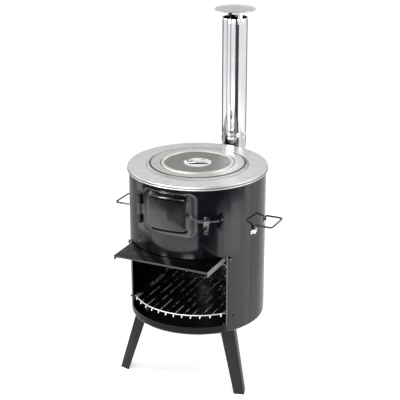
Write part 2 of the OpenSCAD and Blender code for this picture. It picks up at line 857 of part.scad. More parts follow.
// Rivet that the lever turns on, with its standing-off boss
module latch_rivet() {
    color(chrome) on_drum(pivot_angle, pivot_z, 0) {
        boss_top = lever_in_r - lever_t - seat_gap;
        translate([0, 0, door_out_r]) cylinder(h = boss_top - door_out_r, r = latch_head_r, $fn = 32);
        head_at = lever_in_r + lever_t + seat_gap;
        translate([0, 0, door_in_r])
            cylinder(h = head_at - door_in_r + latch_head_h, r = latch_pin_r, $fn = 32);
        translate([0, 0, head_at]) cylinder(h = latch_head_h, r = latch_head_r, $fn = 32);
    }
}

// Hanging tongue riveted to the lever's end
module lever_grip() {
    color(grip_black) difference() {
        on_drum(grip_at, grip_z, lever_in_r + lever_t + seat_gap) linear_extrude(grip_t) {
            translate([-grip_w / 2, grip_w / 2 - grip_l]) square([grip_w, grip_l - grip_w / 4]);
            translate([0, grip_w / 2 - grip_l]) circle(d = grip_w, $fn = round_fn);
        }
        grip_hole();
    }
}

module grip_hole() {
    on_drum(grip_at, grip_z, 0) cylinder(h = long_cut, r = rivet_r + pin_gap, $fn = 24);
}

module grip_rivet() {
    color(chrome) on_drum(grip_at, grip_z, lever_in_r + lever_t + seat_gap + grip_t)
        rivet(grip_t + seat_gap + lever_t);
}

// Keeper: a riveted foot, a shelf under the lever and a hook in front of it
module latch_keeper() {
    color(chrome) difference() {
        on_drum(keeper_at, keeper_shelf_z, 0) {
            translate([0, 0, drum_r + seat_gap]) linear_extrude(keeper_t) {
                translate([-keeper_w / 2, keeper_w / 2 - keeper_foot])
                    square([keeper_w, keeper_foot - keeper_w / 2]);
                translate([0, keeper_w / 2 - keeper_foot]) circle(d = keeper_w, $fn = round_fn);
            }
            translate([-keeper_w / 2, -keeper_t, drum_r + seat_gap])
                cube([keeper_w, keeper_t, hook_in_r - drum_r - seat_gap + keeper_t]);
            translate([-keeper_w / 2, -keeper_t, hook_in_r]) cube([keeper_w, hook_h + keeper_t, keeper_t]);
        }
        at_keeper_rivets(drum_r + seat_gap + keeper_t) rivet_hole(keeper_t + overrun);
    }
}

module keeper_rivets() {
    color(chrome) at_keeper_rivets(drum_r + seat_gap + keeper_t) rivet(keeper_t + seat_gap + drum_t);
}

// Flat flap with side flanges, a front lip and two pivot holes
module flap_door() {
    color(enamel) difference() {
        union() {
            translate([-flap_half_w, pivot_y - flap_d, flap_top_z - flap_t])
                cube([flap_w, flap_d + flap_tail, flap_t]);
            for (x = [-flap_half_w, flap_half_w - flap_t])
                translate([x, pivot_y - flap_d, flap_top_z - flap_flange])
                    cube([flap_t, flap_d + flap_tail, flap_flange]);
            translate([-flap_half_w, pivot_y - flap_d, flap_top_z - flap_lip])
                cube([flap_w, flap_t, flap_lip]);
        }
        translate([-flap_w, pivot_y, flap_pivot_z]) rotate([0, 90, 0])
            cylinder(h = 2 * flap_w, r = screw_r + pin_gap, $fn = 32);
    }
}

// Pivot screws from outside the drum into the flap's flanges, each with its nut
module flap_screws() {
    tail_x = flap_half_w - flap_t - 2 * screw_head_h;
    color(chrome) for (side = [-1, 1])
        translate([0, pivot_y, flap_pivot_z]) rotate([0, side * 90, 0]) {
            translate([0, 0, screw_head_x]) cylinder(h = screw_head_h, r = screw_head_r, $fn = round_fn);
            translate([0, 0, tail_x]) cylinder(h = screw_head_x - tail_x, r = screw_r, $fn = 32);
            translate([0, 0, flap_half_w - flap_t - seat_gap - screw_head_h])
                cylinder(h = screw_head_h, r = flap_nut_r, $fn = 6);
        }
}

// Wire rack: front and back hoops, straight sides and cross wires below
module grill_rack() {
    color(chrome) {
        for (turn = [0, 180]) {
            rotate([0, 0, turn]) translate([0, 0, rack_z]) {
                rotate([0, 0, -90 - hoop_angle]) rotate_extrude(angle = 2 * hoop_angle, $fn = 180)
                    translate([rack_r, 0]) circle(d = hoop_d, $fn = 24);
                translate([rack_half_w, hoop_y, 0]) rotate([90, 0, 0])
                    cylinder(h = 2 * hoop_y, d = hoop_d, $fn = 24);
                for (y = [-1, 1])
                    translate([rack_half_w, y * hoop_y, 0]) sphere(d = corner_ball, $fn = 24);
            }
        }
        for (i = [0 : wires_a_side - 1], side = [-1, 1]) {
            x = (i + 0.5) * wire_pitch;
            reach = sqrt(rack_r * rack_r - x * x) + wire_end;
            translate([side * x, reach, wire_z]) rotate([90, 0, 0])
                cylinder(h = 2 * reach, d = wire_d, $fn = 24);
        }
    }
}

function bracket_wall_x() = sqrt(drum_in_r * drum_in_r - pow(bracket_y + bracket_d / 2, 2)) - seat_gap;

// Four angle brackets that carry the rack's sides
module rack_brackets() {
    wall_x = bracket_wall_x();
    color(chrome) difference() {
        for (x = [-1, 1], y = [-1, 1])
            translate([0, y * bracket_y - bracket_d / 2, bracket_top_z]) mirror([x > 0 ? 0 : 1, 0, 0]) {
                translate([bracket_in_x, 0, -bracket_t]) cube([wall_x - bracket_in_x, bracket_d, bracket_t]);
                translate([wall_x - bracket_t, 0, -bracket_drop]) cube([bracket_t, bracket_d, bracket_drop]);
            }
        at_bracket_rivets() translate([0, 0, -bracket_t - overrun])
            cylinder(h = bracket_t + 2 * overrun, r = rivet_r + pin_gap, $fn = 24);
    }
}

module bracket_rivets() {
    out_x = sqrt(drum_r * drum_r - pow(bracket_y - rivet_head_r, 2)) - bracket_wall_x() + seat_gap;
    color(charcoal) at_bracket_rivets() {
        translate([0, 0, -bracket_t]) cylinder(h = bracket_t + out_x, r = rivet_r, $fn = 24);
        translate([0, 0, -bracket_t - tail_h]) cylinder(h = tail_h, r = rivet_head_r, $fn = 24);
        translate([0, 0, out_x]) cylinder(h = tail_h, r = rivet_head_r, $fn = 24);
    }
}

// Quarter bend of round wire from +X to +Y about the Z axis
module wire_bend(bend, d) {
    rotate_extrude(angle = 90, $fn = 64) translate([bend, 0]) circle(d = d, $fn = 24);
}

// Wire handle on the +X side: bar, two arms and two feet down the drum
module handle_right() {
    arm_x = handle_foot_x + foot_bend;
    bend_x = handle_reach - handle_bend;
    color(chrome) translate([0, 0, handle_z]) {
        translate([handle_reach, handle_arm_y - handle_bend, 0]) rotate([90, 0, 0])
            cylinder(h = handle_w - 2 * handle_bend, d = handle_d, $fn = 24);
        for (side = [0, 1]) mirror([0, side, 0]) {
            translate([bend_x, handle_arm_y - handle_bend, 0]) wire_bend(handle_bend, handle_d);
            translate([arm_x, handle_arm_y, 0]) rotate([0, 90, 0])
                cylinder(h = bend_x - arm_x, d = handle_d, $fn = 24);
            translate([arm_x, handle_arm_y, -foot_bend]) rotate([90, 0, 0]) mirror([1, 0, 0])
                wire_bend(foot_bend, handle_d);
            translate([handle_foot_x, handle_arm_y, -handle_foot])
                cylinder(h = handle_foot - foot_bend, d = handle_d, $fn = 24);
        }
    }
}

module handle_left() {
    mirror([1, 0, 0]) handle_right();
}

// Saddle clips over the handles' feet
module handle_clips() {
    saddle_r = handle_wire_r + seat_gap;
    foot_out = foot_wire_at - drum_r - seat_gap;
    color(chrome) difference() {
        for (side = [-90, 90], arm = [-1, 1])
            on_drum(side + arm * clip_angle, clip_z, drum_r + seat_gap) rotate([90, 0, 0])
                translate([0, 0, -clip_h / 2]) linear_extrude(clip_h) difference() {
                    union() {
                        translate([-clip_w / 2, 0]) square([clip_w, clip_t]);
                        translate([-saddle_r - clip_t, 0]) square([2 * (saddle_r + clip_t), foot_out]);
                        translate([0, foot_out]) circle(r = saddle_r + clip_t, $fn = round_fn);
                    }
                    translate([-saddle_r, -overrun]) square([2 * saddle_r, foot_out + overrun]);
                    translate([0, foot_out]) circle(r = saddle_r, $fn = round_fn);
                }
        at_clip_rivets(drum_r + seat_gap + clip_t) rivet_hole(clip_t + overrun);
    }
}

module clip_rivets() {
    color(chrome) at_clip_rivets(drum_r + seat_gap + clip_t) rivet(clip_t + 2 * seat_gap + drum_t);
}

// Tube along Y round the flue's lower axis
module flue_tube(r_in, r_out, from_y, to_y) {
    translate([0, from_y, flue_z]) rotate([-90, 0, 0]) difference() {
        cylinder(h = to_y - from_y, r = r_out);
        translate([0, 0, -overrun]) cylinder(h = to_y - from_y + 2 * overrun, r = r_in);
    }
}

// Collar with a curved flange on the drum's back and a spigot for the elbow
module flue_collar() {
    color(zinc) difference() {
        union() {
            flue_tube(spigot_r - flue_t, spigot_r, collar_in_y, collar_end_y);
            intersection() {
                ring_wall(drum_r + seat_gap, drum_r + seat_gap + leaf_t, flue_z - flange_r, 2 * flange_r);
                flue_tube(spigot_r - flue_t, flange_r, 0, long_cut);
            }
        }
        at_collar_rivets(drum_r + seat_gap + leaf_t) rivet_hole(leaf_t + overrun);
    }
}

module collar_rivets() {
    color(chrome) at_collar_rivets(drum_r + seat_gap + leaf_t) rivet(leaf_t + seat_gap + drum_t);
}

// Elbow from the collar up to the chimney, with a narrower spigot on top
module flue_elbow() {
    color(polished) {
        flue_tube(flue_in_r, flue_r, elbow_start_y, elbow_y);
        translate([0, elbow_y, flue_z + elbow_bend]) rotate([0, 0, 90]) rotate([90, 0, 0])
            rotate([0, 0, -90]) rotate_extrude(angle = 90, $fn = 180) translate([elbow_bend, 0])
                difference() {
                    circle(r = flue_r);
                    circle(r = flue_in_r);
                }
        translate([0, flue_y, flue_z + elbow_bend]) difference() {
            union() {
                cylinder(h = elbow_neck, r = flue_r);
                cylinder(h = elbow_neck + spigot_l, r = spigot_r);
            }
            translate([0, 0, -overrun])
                cylinder(h = elbow_neck + spigot_l + 2 * overrun, r = spigot_r - flue_t);
            translate([0, 0, -overrun]) cylinder(h = elbow_neck + overrun - flue_t, r = flue_in_r);
        }
    }
}

module flue_pipe() {
    color(polished) translate([0, flue_y, pipe_z + seat_gap]) difference() {
        cylinder(h = pipe_l - seat_gap, r = flue_r);
        translate([0, 0, -overrun]) cylinder(h = pipe_l + 2 * overrun, r = flue_in_r);
        for (side = [0, 180])
            rotate([0, 0, strap_angle + side]) translate([0, 0, strap_rivet_z - pipe_z - seat_gap])
                rotate([90, 0, 0]) cylinder(h = long_cut, r = rivet_r + pin_gap, $fn = 24);
    }
}

// Shallow cone over the chimney's mouth
module rain_cap() {
    color(cap_grey) difference() {
        translate([0, flue_y, cap_z]) rotate_extrude($fn = 120)
            polygon([[0, cap_h], [cap_r, 0], [cap_r, -cap_t], [0, cap_h - cap_t]]);
        at_cap_rivets() rivet_hole(cap_t + 2 * overrun);
    }
}

// Places of the cap's rivets, on the cone's slope above each strap
module at_cap_rivets() {
    for (side = [0, 180])
        translate([0, flue_y, cap_z]) rotate([0, 0, strap_angle + side])
            translate([0, -cap_rivet_at, cap_h * (1 - cap_rivet_at / cap_r)]) rotate([cap_slope, 0, 0])
                children();
}

// The strap's outline from the side: X away from the pipe's middle, Y up
module strap_outline() {
    out_r = strap_in_r + strap_t;
    end_r = out_r - strap_tab;
    tilt = cap_h / cap_r;
    polygon([
        [out_r, pipe_top_z - strap_foot], [out_r, strap_top_z - strap_t * tilt],
        [end_r, strap_top_z + (strap_in_r - end_r) * tilt],
        [end_r, strap_top_z + (strap_in_r - end_r) * tilt - strap_t],
        [strap_in_r, strap_top_z - strap_t], [strap_in_r, pipe_top_z - strap_foot]
    ]);
}

// Two bent straps that hold the cap
module cap_straps() {
    color(chrome) difference() {
        for (side = [0, 180])
            translate([0, flue_y, 0]) rotate([0, 0, strap_angle + side]) translate([strap_w / 2, 0, 0])
                rotate([90, 0, -90]) linear_extrude(strap_w) strap_outline();
        for (side = [0, 180])
            translate([0, flue_y, strap_rivet_z]) rotate([0, 0, strap_angle + side])
                rotate([90, 0, 0]) cylinder(h = long_cut, r = rivet_r + pin_gap, $fn = 24);
        at_cap_rivets() rivet_hole(cap_t + strap_t + 2 * overrun);
    }
}

module cap_rivets() {
    color(chrome) {
        for (side = [0, 180])
            translate([0, flue_y, strap_rivet_z]) rotate([0, 0, strap_angle + side])
                translate([0, -strap_in_r - strap_t, 0]) rotate([90, 0, 0])
                    rivet(strap_t + seat_gap + flue_t);
        at_cap_rivets() rivet(cap_t + strap_t + seat_gap);
    }
}

on_ground() body_shell();
on_ground() bottom_pan();
on_ground() leg_left();
on_ground() leg_right();
on_ground() leg_rear();
on_ground() leg_bolts();
on_ground() leg_nuts();
on_ground() firebox_floor();
on_ground() fire_grate();
on_ground() top_plate();
on_ground() cooking_ring();
on_ground() lid();
on_ground() lift_bar();
on_ground() fire_door();
on_ground() hinge_leaf();
on_ground() hinge_rivets();
on_ground() hinge_pin();
on_ground() latch_lever();
on_ground() latch_rivet();
on_ground() lever_grip();
on_ground() grip_rivet();
on_ground() latch_keeper();
on_ground() keeper_rivets();
on_ground() flap_door();
on_ground() flap_screws();
on_ground() grill_rack();
on_ground() rack_brackets();
on_ground() bracket_rivets();
on_ground() handle_left();
on_ground() handle_right();
on_ground() handle_clips();
on_ground() clip_rivets();
on_ground() flue_collar();
on_ground() collar_rivets();
on_ground() flue_elbow();
on_ground() flue_pipe();
on_ground() rain_cap();
on_ground() cap_straps();
on_ground() cap_rivets();
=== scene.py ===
import math

import bmesh
import bpy
from mathutils import Matrix, Vector


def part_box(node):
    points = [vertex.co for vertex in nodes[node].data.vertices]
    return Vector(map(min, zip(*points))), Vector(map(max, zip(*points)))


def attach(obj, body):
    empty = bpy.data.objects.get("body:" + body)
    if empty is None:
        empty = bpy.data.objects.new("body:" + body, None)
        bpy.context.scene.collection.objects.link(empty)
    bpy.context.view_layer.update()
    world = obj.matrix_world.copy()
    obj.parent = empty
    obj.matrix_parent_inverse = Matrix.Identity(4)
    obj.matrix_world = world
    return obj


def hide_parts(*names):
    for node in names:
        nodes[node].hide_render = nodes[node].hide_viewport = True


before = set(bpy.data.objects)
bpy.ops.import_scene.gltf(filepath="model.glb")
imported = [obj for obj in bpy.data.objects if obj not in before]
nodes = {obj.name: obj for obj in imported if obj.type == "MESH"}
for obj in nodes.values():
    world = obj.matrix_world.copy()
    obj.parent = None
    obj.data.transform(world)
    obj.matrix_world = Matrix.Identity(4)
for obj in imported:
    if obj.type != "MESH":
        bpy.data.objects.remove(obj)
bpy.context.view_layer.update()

# Places along Y are in metres; the other sizes are in mm and the turns in degrees from the front
MM = 0.001
plate_low, plate_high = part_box("top_plate")
DRUM_Y = (plate_low.y + plate_high.y) / 2
FLUE_Y = DRUM_Y + 240 * MM
DRUM_R = 180.0
DOOR_Z = 512.0
DOOR_EDGE_TURN = math.degrees(math.asin(76 / 180.3))
HINGE_TURN = -DOOR_EDGE_TURN - math.degrees(11 / DRUM_R)
HINGE_R = 186.5
HINGE_Z = 505.0
LEVER_TURN = DOOR_EDGE_TURN - math.degrees(14 / DRUM_R)
HANDLE_HALF_W = 38.0
RACK_R = 172.0
CAP_R = 55.0
CAP_Z = 954.0
CAP_RISE = 8.0


def outward(turn):
    """Level direction away from an upright axis, as X and Y."""
    a = math.radians(turn)
    return math.sin(a), -math.cos(a)


# Node trees

def wired(tree, kind, inputs=None, out=0, **settings):
    """One output of a new node, or all of them, with its inputs set to values or joined to sockets."""
    made = tree.nodes.new(kind)
    for key, value in settings.items():
        setattr(made, key, value)
    for key, value in (inputs or {}).items():
        if isinstance(value, bpy.types.NodeSocket):
            tree.links.new(value, made.inputs[key])
        else:
            made.inputs[key].default_value = value
    return made.outputs if out is None else made.outputs[out]


def math_node(tree, kind, first, second=0.0):
    """One reckoning with two numbers or sockets."""
    return wired(tree, "ShaderNodeMath", {0: first, 1: second}, operation=kind)


def scaled(tone, share):
    return tuple(min(1, c * share) for c in tone)


class Finish:
    """A material whose shader gets its colour, gloss and relief from nodes."""

    def __init__(self, name, metallic=0.0, coat=0.0, specular=0.5):
        self.material = bpy.data.materials.new(name)
        self.material.use_nodes = True
        self.tree = self.material.node_tree
        self.shader = self.tree.nodes["Principled BSDF"]
        for label, value in (("Metallic", metallic), ("Coat Weight", coat), ("Coat Roughness", 0.06),
                             ("Specular IOR Level", specular)):
            self.shader.inputs[label].default_value = value
        self.place = self.node("ShaderNodeTexCoord", out="Object")

    def node(self, kind, inputs=None, out=0, **settings):
        return wired(self.tree, kind, inputs, out, **settings)

    def stretch(self, scale, centre=(0, 0, 0)):
        """Object coordinates moved to a centre and scaled along each axis."""
        moved = self.node("ShaderNodeVectorMath", {0: self.place, 1: centre}, operation="SUBTRACT")
        return self.node("ShaderNodeVectorMath", {0: moved, 1: scale}, operation="MULTIPLY")

    def along(self, axis):
        """Object coordinate along X, Y or Z."""
        return self.node("ShaderNodeSeparateXYZ", {0: self.place}, axis)

    def reach(self, y):
        """Distance from the upright axis at y."""
        level = self.stretch((1, 1, 0), (0, y, 0))
        return self.node("ShaderNodeVectorMath", {0: level}, "Value", operation="LENGTH")

    def noise(self, scale, detail, rough=0.5, where=None):
        inputs = {"Vector": where or self.place, "Scale": scale, "Detail": detail, "Roughness": rough}
        return self.node("ShaderNodeTexNoise", inputs, "Fac")

    def cells(self, scale):
        return self.node("ShaderNodeTexVoronoi", {"Vector": self.place, "Scale": scale}, None)

    def ramp(self, value, first, second, low=0.3, high=0.7):
        """Colour that runs from the first to the second between two values."""
        colour = self.node("ShaderNodeValToRGB", {"Fac": value}, "Color")
        for point, at, tone in zip(colour.node.color_ramp.elements, (low, high), (first, second)):
            point.position = at
            point.color = (*tone, 1)
        return colour

    def span(self, value, low, high, start=0.0, end=1.0):
        """Maps start to end onto low to high, and holds the ends."""
        inputs = {"Value": value, "From Min": start, "From Max": end, "To Min": low, "To Max": high}
        return self.node("ShaderNodeMapRange", inputs, "Result")

    def above(self, value, start, end, most=1.0):
        return self.span(value, 0, most, start, end)

    def below(self, value, start, end, most=1.0):
        return self.span(value, most, 0, start, end)

    def band(self, value, low, high, soft):
        """1 between two values, with soft ends."""
        rise, fall = self.above(value, low - soft, low + soft), self.below(value, high - soft, high + soft)
        return self.product(rise, fall)

    def mix(self, share, first, second, blend="MIX"):
        first, second = ((*v, 1) if isinstance(v, tuple) else v for v in (first, second))
        inputs = {0: share, 6: first, 7: second}
        return self.node("ShaderNodeMix", inputs, 2, data_type="RGBA", blend_type=blend)

    def product(self, first, second):
        return math_node(self.tree, "MULTIPLY", first, second)

    def marked(self, skin, marks):
        """Lays marks over a skin, each a mask and its colour."""
        for mask, shade in (marks(self) if marks else ()):
            skin = self.mix(mask, skin, shade)
        return skin

    def surface(self, colour, gloss, height, strength, depth):
        """The material, with its colour, its gloss and a relief of some strength and depth."""
        inputs = {"Height": height, "Strength": strength, "Distance": depth}
        bump = self.node("ShaderNodeBump", inputs, "Normal")
        for label, value in (("Base Color", colour), ("Roughness", gloss), ("Normal", bump)):
            self.tree.links.new(value, self.shader.inputs[label])
        return self.material


def enamel_finish(name, tone, soft, coat, specular, marks=None):
    """Glass-like black enamel with orange peel, faint clouding and tiny pits."""
    f = Finish(name, coat=coat, specular=specular)
    base = f.ramp(f.noise(9, 4), scaled(tone, 0.75), scaled(tone, 1.3))
    pits = f.product(f.below(f.cells(520)["Distance"], 0.03, 0.09), f.above(f.noise(60, 2), 0.62, 0.7))
    skin = f.marked(f.mix(pits, base, (0.10, 0.10, 0.11)), marks)
    gloss = f.span(f.noise(24, 3), soft, soft + 0.12, 0.3, 0.7)
    return f.surface(skin, gloss, f.noise(210, 2), 0.10, 0.0006)


def satin_finish(name, tone, rough, specular):
    """Powder coat: fine grain, slightly uneven sheen and rubbed spots."""
    f = Finish(name, specular=specular)
    patch = f.noise(14, 4)
    base = f.ramp(patch, scaled(tone, 0.82), scaled(tone, 1.2), 0.3, 0.72)
    skin = f.mix(f.above(f.noise(46, 5, 0.65), 0.66, 0.74, 0.5), base, scaled(tone, 1.9))
    gloss = f.span(patch, rough - 0.06, rough + 0.08, 0.3, 0.7)
    return f.surface(skin, gloss, f.noise(900, 2), 0.22, 0.0003)


def galvanised_finish(name, tone, rough=0.36, dark=0.86, marks=None):
    """Zinc-coated sheet: soft spangle, rolling marks and dull handling patches."""
    f = Finish(name, metallic=0.85)
    spangle = f.cells(85)
    flake = f.span(spangle["Distance"], 0.94, 1.04, 0, 0.7)
    tint = f.span(f.node("ShaderNodeSeparateColor", {0: spangle["Color"]}), 0.93, 1.03)
    base = f.ramp(f.noise(40, 4, 0.6, f.stretch((1, 14, 1))), scaled(tone, dark), tone, 0.28, 0.72)
    skin = f.marked(f.mix(1.0, base, f.product(tint, flake), "MULTIPLY"), marks)
    gloss = f.span(f.noise(11, 5, 0.6), rough - 0.07, rough + 0.12, 0.3, 0.7)
    return f.surface(skin, gloss, f.noise(300, 3, 0.6, f.stretch((1, 10, 1))), 0.06, 0.0004)


def polished_finish(name, tone, rough, lines, marks=None):
    """Mirror-bright steel with drawing lines along the piece and faint haze."""
    f = Finish(name, metallic=1.0)
    haze = f.noise(16, 5, 0.6)
    drawn = f.noise(1, 3, 0.6, f.stretch(lines))
    base = f.ramp(haze, scaled(tone, 0.93), tone)
    skin = f.mix(f.above(drawn, 0.45, 0.75, 0.5), base, scaled(tone, 0.75))
    gloss = f.span(haze, rough, rough + 0.09, 0.35, 0.75)
    return f.surface(f.marked(skin, marks), gloss, drawn, 0.05, 0.0002)


def cast_finish(name):
    """Raw casting: sandy skin with darker pits."""
    f = Finish(name)
    sand = f.noise(650, 4, 0.7)
    skin = f.ramp(f.noise(70, 4), (0.022, 0.021, 0.02), (0.05, 0.047, 0.044))
    return f.surface(skin, f.span(sand, 0.55, 0.8), sand, 0.5, 0.0006)


def lid_finish(name, tone):
    """Satin steel lid, bright in its dish, with a painted highlight along the top of its bead."""
    f = Finish(name, metallic=0.9)
    reach, mottle = f.reach(DRUM_Y), f.noise(30, 5, 0.65)
    dish = f.below(reach, 0.0358, 0.0372)
    base = f.ramp(mottle, scaled(tone, 0.85), scaled(tone, 1.12))
    # Painted highlight: the bead lighter than the rest of the lid
    bright = f.mix(f.above(reach, 0.0855, 0.0875), base, (0.62, 0.61, 0.58))
    satin, dish_gloss = f.span(mottle, 0.38, 0.55, 0.3, 0.7), 0.12
    gloss = f.node("ShaderNodeMix", {0: dish, 2: satin, 3: dish_gloss}, data_type="FLOAT")
    return f.surface(f.mix(dish, bright, (0.82, 0.81, 0.79)), gloss,
                     f.product(f.noise(1, 2), f.noise(420, 2)), 0.08, 0.0003)


# Marks on single pieces, most of them painted shade and painted highlights, with radii and heights in metres

# Painted shade on zinc, in gaps, grooves and on slopes
ZINC_PAINTED_SHADE = (0.03, 0.028, 0.026)
# Dark steel: soot inside the flue, painted shade at the pipe's foot and on the rack wires, and darker
# speckles on the keeper
STEEL_DARK_MARK = (0.02, 0.019, 0.018)
# Painted shade on black enamel
ENAMEL_PAINTED_SHADE = (0.0015, 0.0013, 0.0018)


def plate_painted_shade(f):
    """Painted shade in the ledge under the ring, in the seam above the rim's bead, and on the collar's bend
    and its slope at the back.
    """
    reach, height = f.reach(DRUM_Y), f.along("Z")
    ledge = f.product(f.below(reach, 0.1268, 0.1276), f.below(height, 0.5915, 0.5925))
    seam = f.product(f.band(height, 0.5808, 0.5834, 0.0003), f.above(reach, 0.1815, 0.1825, 0.85))
    bend = f.product(f.band(reach, 0.1336, 0.1354, 0.0004), 0.5)
    behind = f.above(f.along("Y"), DRUM_Y - 0.03, DRUM_Y + 0.09, 0.72)
    slope = f.product(f.band(reach, 0.1262, 0.1332, 0.0006), behind)
    return [(mask, ZINC_PAINTED_SHADE) for mask in (ledge, seam, bend, slope)]


def ring_painted_shade(f):
    """Painted shade on the ring's inner ledge, under the lid's edge, and on its outer edge."""
    reach = f.reach(DRUM_Y)
    inner = f.product(f.below(reach, 0.0982, 0.0992, 0.9), f.below(f.along("Z"), 0.5915, 0.5922))
    return [(inner, ZINC_PAINTED_SHADE), (f.above(reach, 0.1222, 0.1232, 0.85), ZINC_PAINTED_SHADE)]


def flue_soot_and_shade(f):
    """Soot inside the flue, and painted shade in streaks at the pipe's foot, on its left."""
    # Painted shade at the pipe's foot, laid as streaks
    foot = f.product(f.below(f.along("Z"), 0.607, 0.634), f.below(f.along("X"), 0.004, 0.010))
    streaks = f.above(f.noise(1, 2, 0.5, f.stretch((95, 95, 18))), 0.45, 0.51, 0.95)
    inside = f.product(f.below(f.reach(FLUE_Y), 0.0331, 0.0334), f.above(f.along("Z"), 0.60, 0.603))
    return [(f.product(foot, streaks), STEEL_DARK_MARK), (inside, STEEL_DARK_MARK)]


def door_painted_light(f):
    """Painted light on the door: a lighter flange, less so on its left, and painted shade on the slopes, the
    foot line, the outer edge, the top and left, and across the panel towards its top and right.
    """
    reach, height, side = f.reach(DRUM_Y), f.along("Z"), f.along("X")
    # Painted light: the flange lighter than the rest, less so on its left
    flange = f.product(f.below(reach, 0.1817, 0.1820), f.span(side, 0.25, 1, -0.06, 0))
    panel = f.above(reach, 0.1885, 0.1893)
    # Painted shade over the slopes, the edges, the top, the left side and the panel
    shade_masks = [
        f.product(f.band(reach, 0.1855, 0.1894, 0.0003), 0.95),
        f.product(f.band(reach, 0.18175, 0.1824, 0.0001), 0.85),
        f.below(reach, 0.18125, 0.18145, 0.92),
        f.product(f.above(height, 0.5455, 0.5485, 0.95), f.below(side, 0.052, 0.060)),
        f.below(side, -0.060, -0.050, 0.6),
        f.product(panel, f.above(side, -0.022, 0.044, 0.72)),
        f.product(panel, f.above(height, 0.513, 0.548, 0.5)),
    ]
    return [(flange, (0.075, 0.073, 0.079))] + [(mask, ENAMEL_PAINTED_SHADE) for mask in shade_masks]


def flap_painted_highlights(f):
    """Painted highlights: lighter side flanges and front lip, and bright flecks as painted glints."""
    # Painted highlights on the side flanges and the front lip
    flange = f.above(math_node(f.tree, "ABSOLUTE", f.along("X")), 0.1304, 0.1309)
    lip = f.below(f.along("Y"), DRUM_Y - 0.2251, DRUM_Y - 0.2248)
    # Bright flecks, painted glints
    painted_glints = f.product(f.below(f.cells(170)["Distance"], 0.10, 0.22), f.above(f.noise(26, 2), 0.60, 0.64))
    return [(flange, (0.17, 0.165, 0.165)), (lip, (0.11, 0.107, 0.108)), (painted_glints, (0.45, 0.45, 0.45))]


def keeper_marks(f):
    """Darker speckles on the lower half of the keeper."""
    spots = f.span(f.noise(260, 2), 0.55, 0.95, 0.42, 0.56)
    return [(f.product(f.below(f.along("Z"), 0.481, 0.4835), spots), STEEL_DARK_MARK)]


def rack_painted_shade(f):
    """Painted shade in patches along the wires behind the rack's front hoop, breaking their highlights into
    dashes.
    """
    inside = f.below(f.reach(DRUM_Y), 0.158, 0.166)
    return [(f.product(inside, f.above(f.noise(38, 2), 0.46, 0.54, 0.96)), STEEL_DARK_MARK)]


# Colour, then for enamel softness, coat and specular level, and for steel softness and its drawing lines
FINE_LINES = (500, 500, 500)
ENAMEL = enamel_finish("black_enamel", (0.0036, 0.003, 0.005), 0.09, 0.16, 0.42)
# The door's pressing carries painted light on its flange and painted shade on its slopes and panel
DOOR_ENAMEL = enamel_finish("door_enamel", (0.027, 0.0262, 0.030), 0.10, 0.2, 0.45, door_painted_light)
# The flap carries painted highlights on its flanges, lip and flecks
FLAP_ENAMEL = enamel_finish("flap_enamel", (0.0015, 0.0015, 0.0018), 0.08, 0.0, 0.12, flap_painted_highlights)
HINGE_ENAMEL = enamel_finish("hinge_enamel", (0.03, 0.0285, 0.033), 0.32, 0.0, 0.25)
KNUCKLE_ENAMEL = enamel_finish("knuckle_enamel", (0.075, 0.073, 0.078), 0.22, 0.0, 0.45)
# Lighter enamel on the fold, a painted highlight
FOLD_PAINTED_HIGHLIGHT = enamel_finish("fold_painted_highlight", (0.12, 0.117, 0.125), 0.22, 0.0, 0.45)
# Black strip, a painted shadow
PAINTED_SHADOW_BLACK = enamel_finish("painted_shadow_black", (0.001, 0.001, 0.0012), 0.4, 0.0, 0.1)
INNER = enamel_finish("inner_enamel", (0.004, 0.004, 0.0045), 0.3, 0.0, 0.3)
GRIP_BLACK = enamel_finish("grip_black", (0.004, 0.004, 0.005), 0.12, 0.0, 0.35)
CHARCOAL = satin_finish("charcoal_paint", (0.008, 0.0078, 0.0091), 0.46, 0.3)
LEVER_STEEL = polished_finish("lever_steel", (0.10, 0.10, 0.11), 0.16, (300, 300, 300))
KEEPER_STEEL = polished_finish("keeper_steel", (0.17, 0.17, 0.18), 0.2, (300, 300, 60), keeper_marks)
CHROME = polished_finish("bright_chrome", (0.80, 0.80, 0.82), 0.06, FINE_LINES)
# Polished wire darkened far below bright steel, painted shade for the dark it should reflect
HANDLE_WIRE_SHADED = polished_finish("handle_wire_painted_shade", (0.11, 0.11, 0.12), 0.10, FINE_LINES)
# The rack wires carry painted shade in patches
RACK_WIRE = polished_finish("rack_wire_steel", (0.9, 0.9, 0.91), 0.5, FINE_LINES, rack_painted_shade)
# The flue carries soot inside and painted shade at its foot
POLISHED = polished_finish("polished_flue", (0.77, 0.775, 0.785), 0.05, (900, 900, 12), flue_soot_and_shade)
# The top sheet and the ring carry painted shade in their gaps and grooves
ZINC = galvanised_finish("zinc_top", (0.62, 0.633, 0.624), marks=plate_painted_shade)
WARM_ZINC = galvanised_finish("zinc_ring", (0.52, 0.523, 0.50), marks=ring_painted_shade)
COLLAR_ZINC = galvanised_finish("zinc_collar", (0.62, 0.63, 0.63))
CLIP_ZINC = galvanised_finish("clip_zinc", (0.92, 0.92, 0.92), 0.5)
PLATED = galvanised_finish("plated_fastener", (0.5, 0.5, 0.5), 0.24, 0.9)
DARK_PLATED = galvanised_finish("dark_fastener", (0.10, 0.10, 0.105), 0.26, 0.9)
CAP_STEEL = galvanised_finish("cap_steel", (0.50, 0.485, 0.47), 0.3)
LID_STEEL = lid_finish("lid_steel", (0.22, 0.212, 0.203))
IRON = cast_finish("cast_iron")


# Mesh making

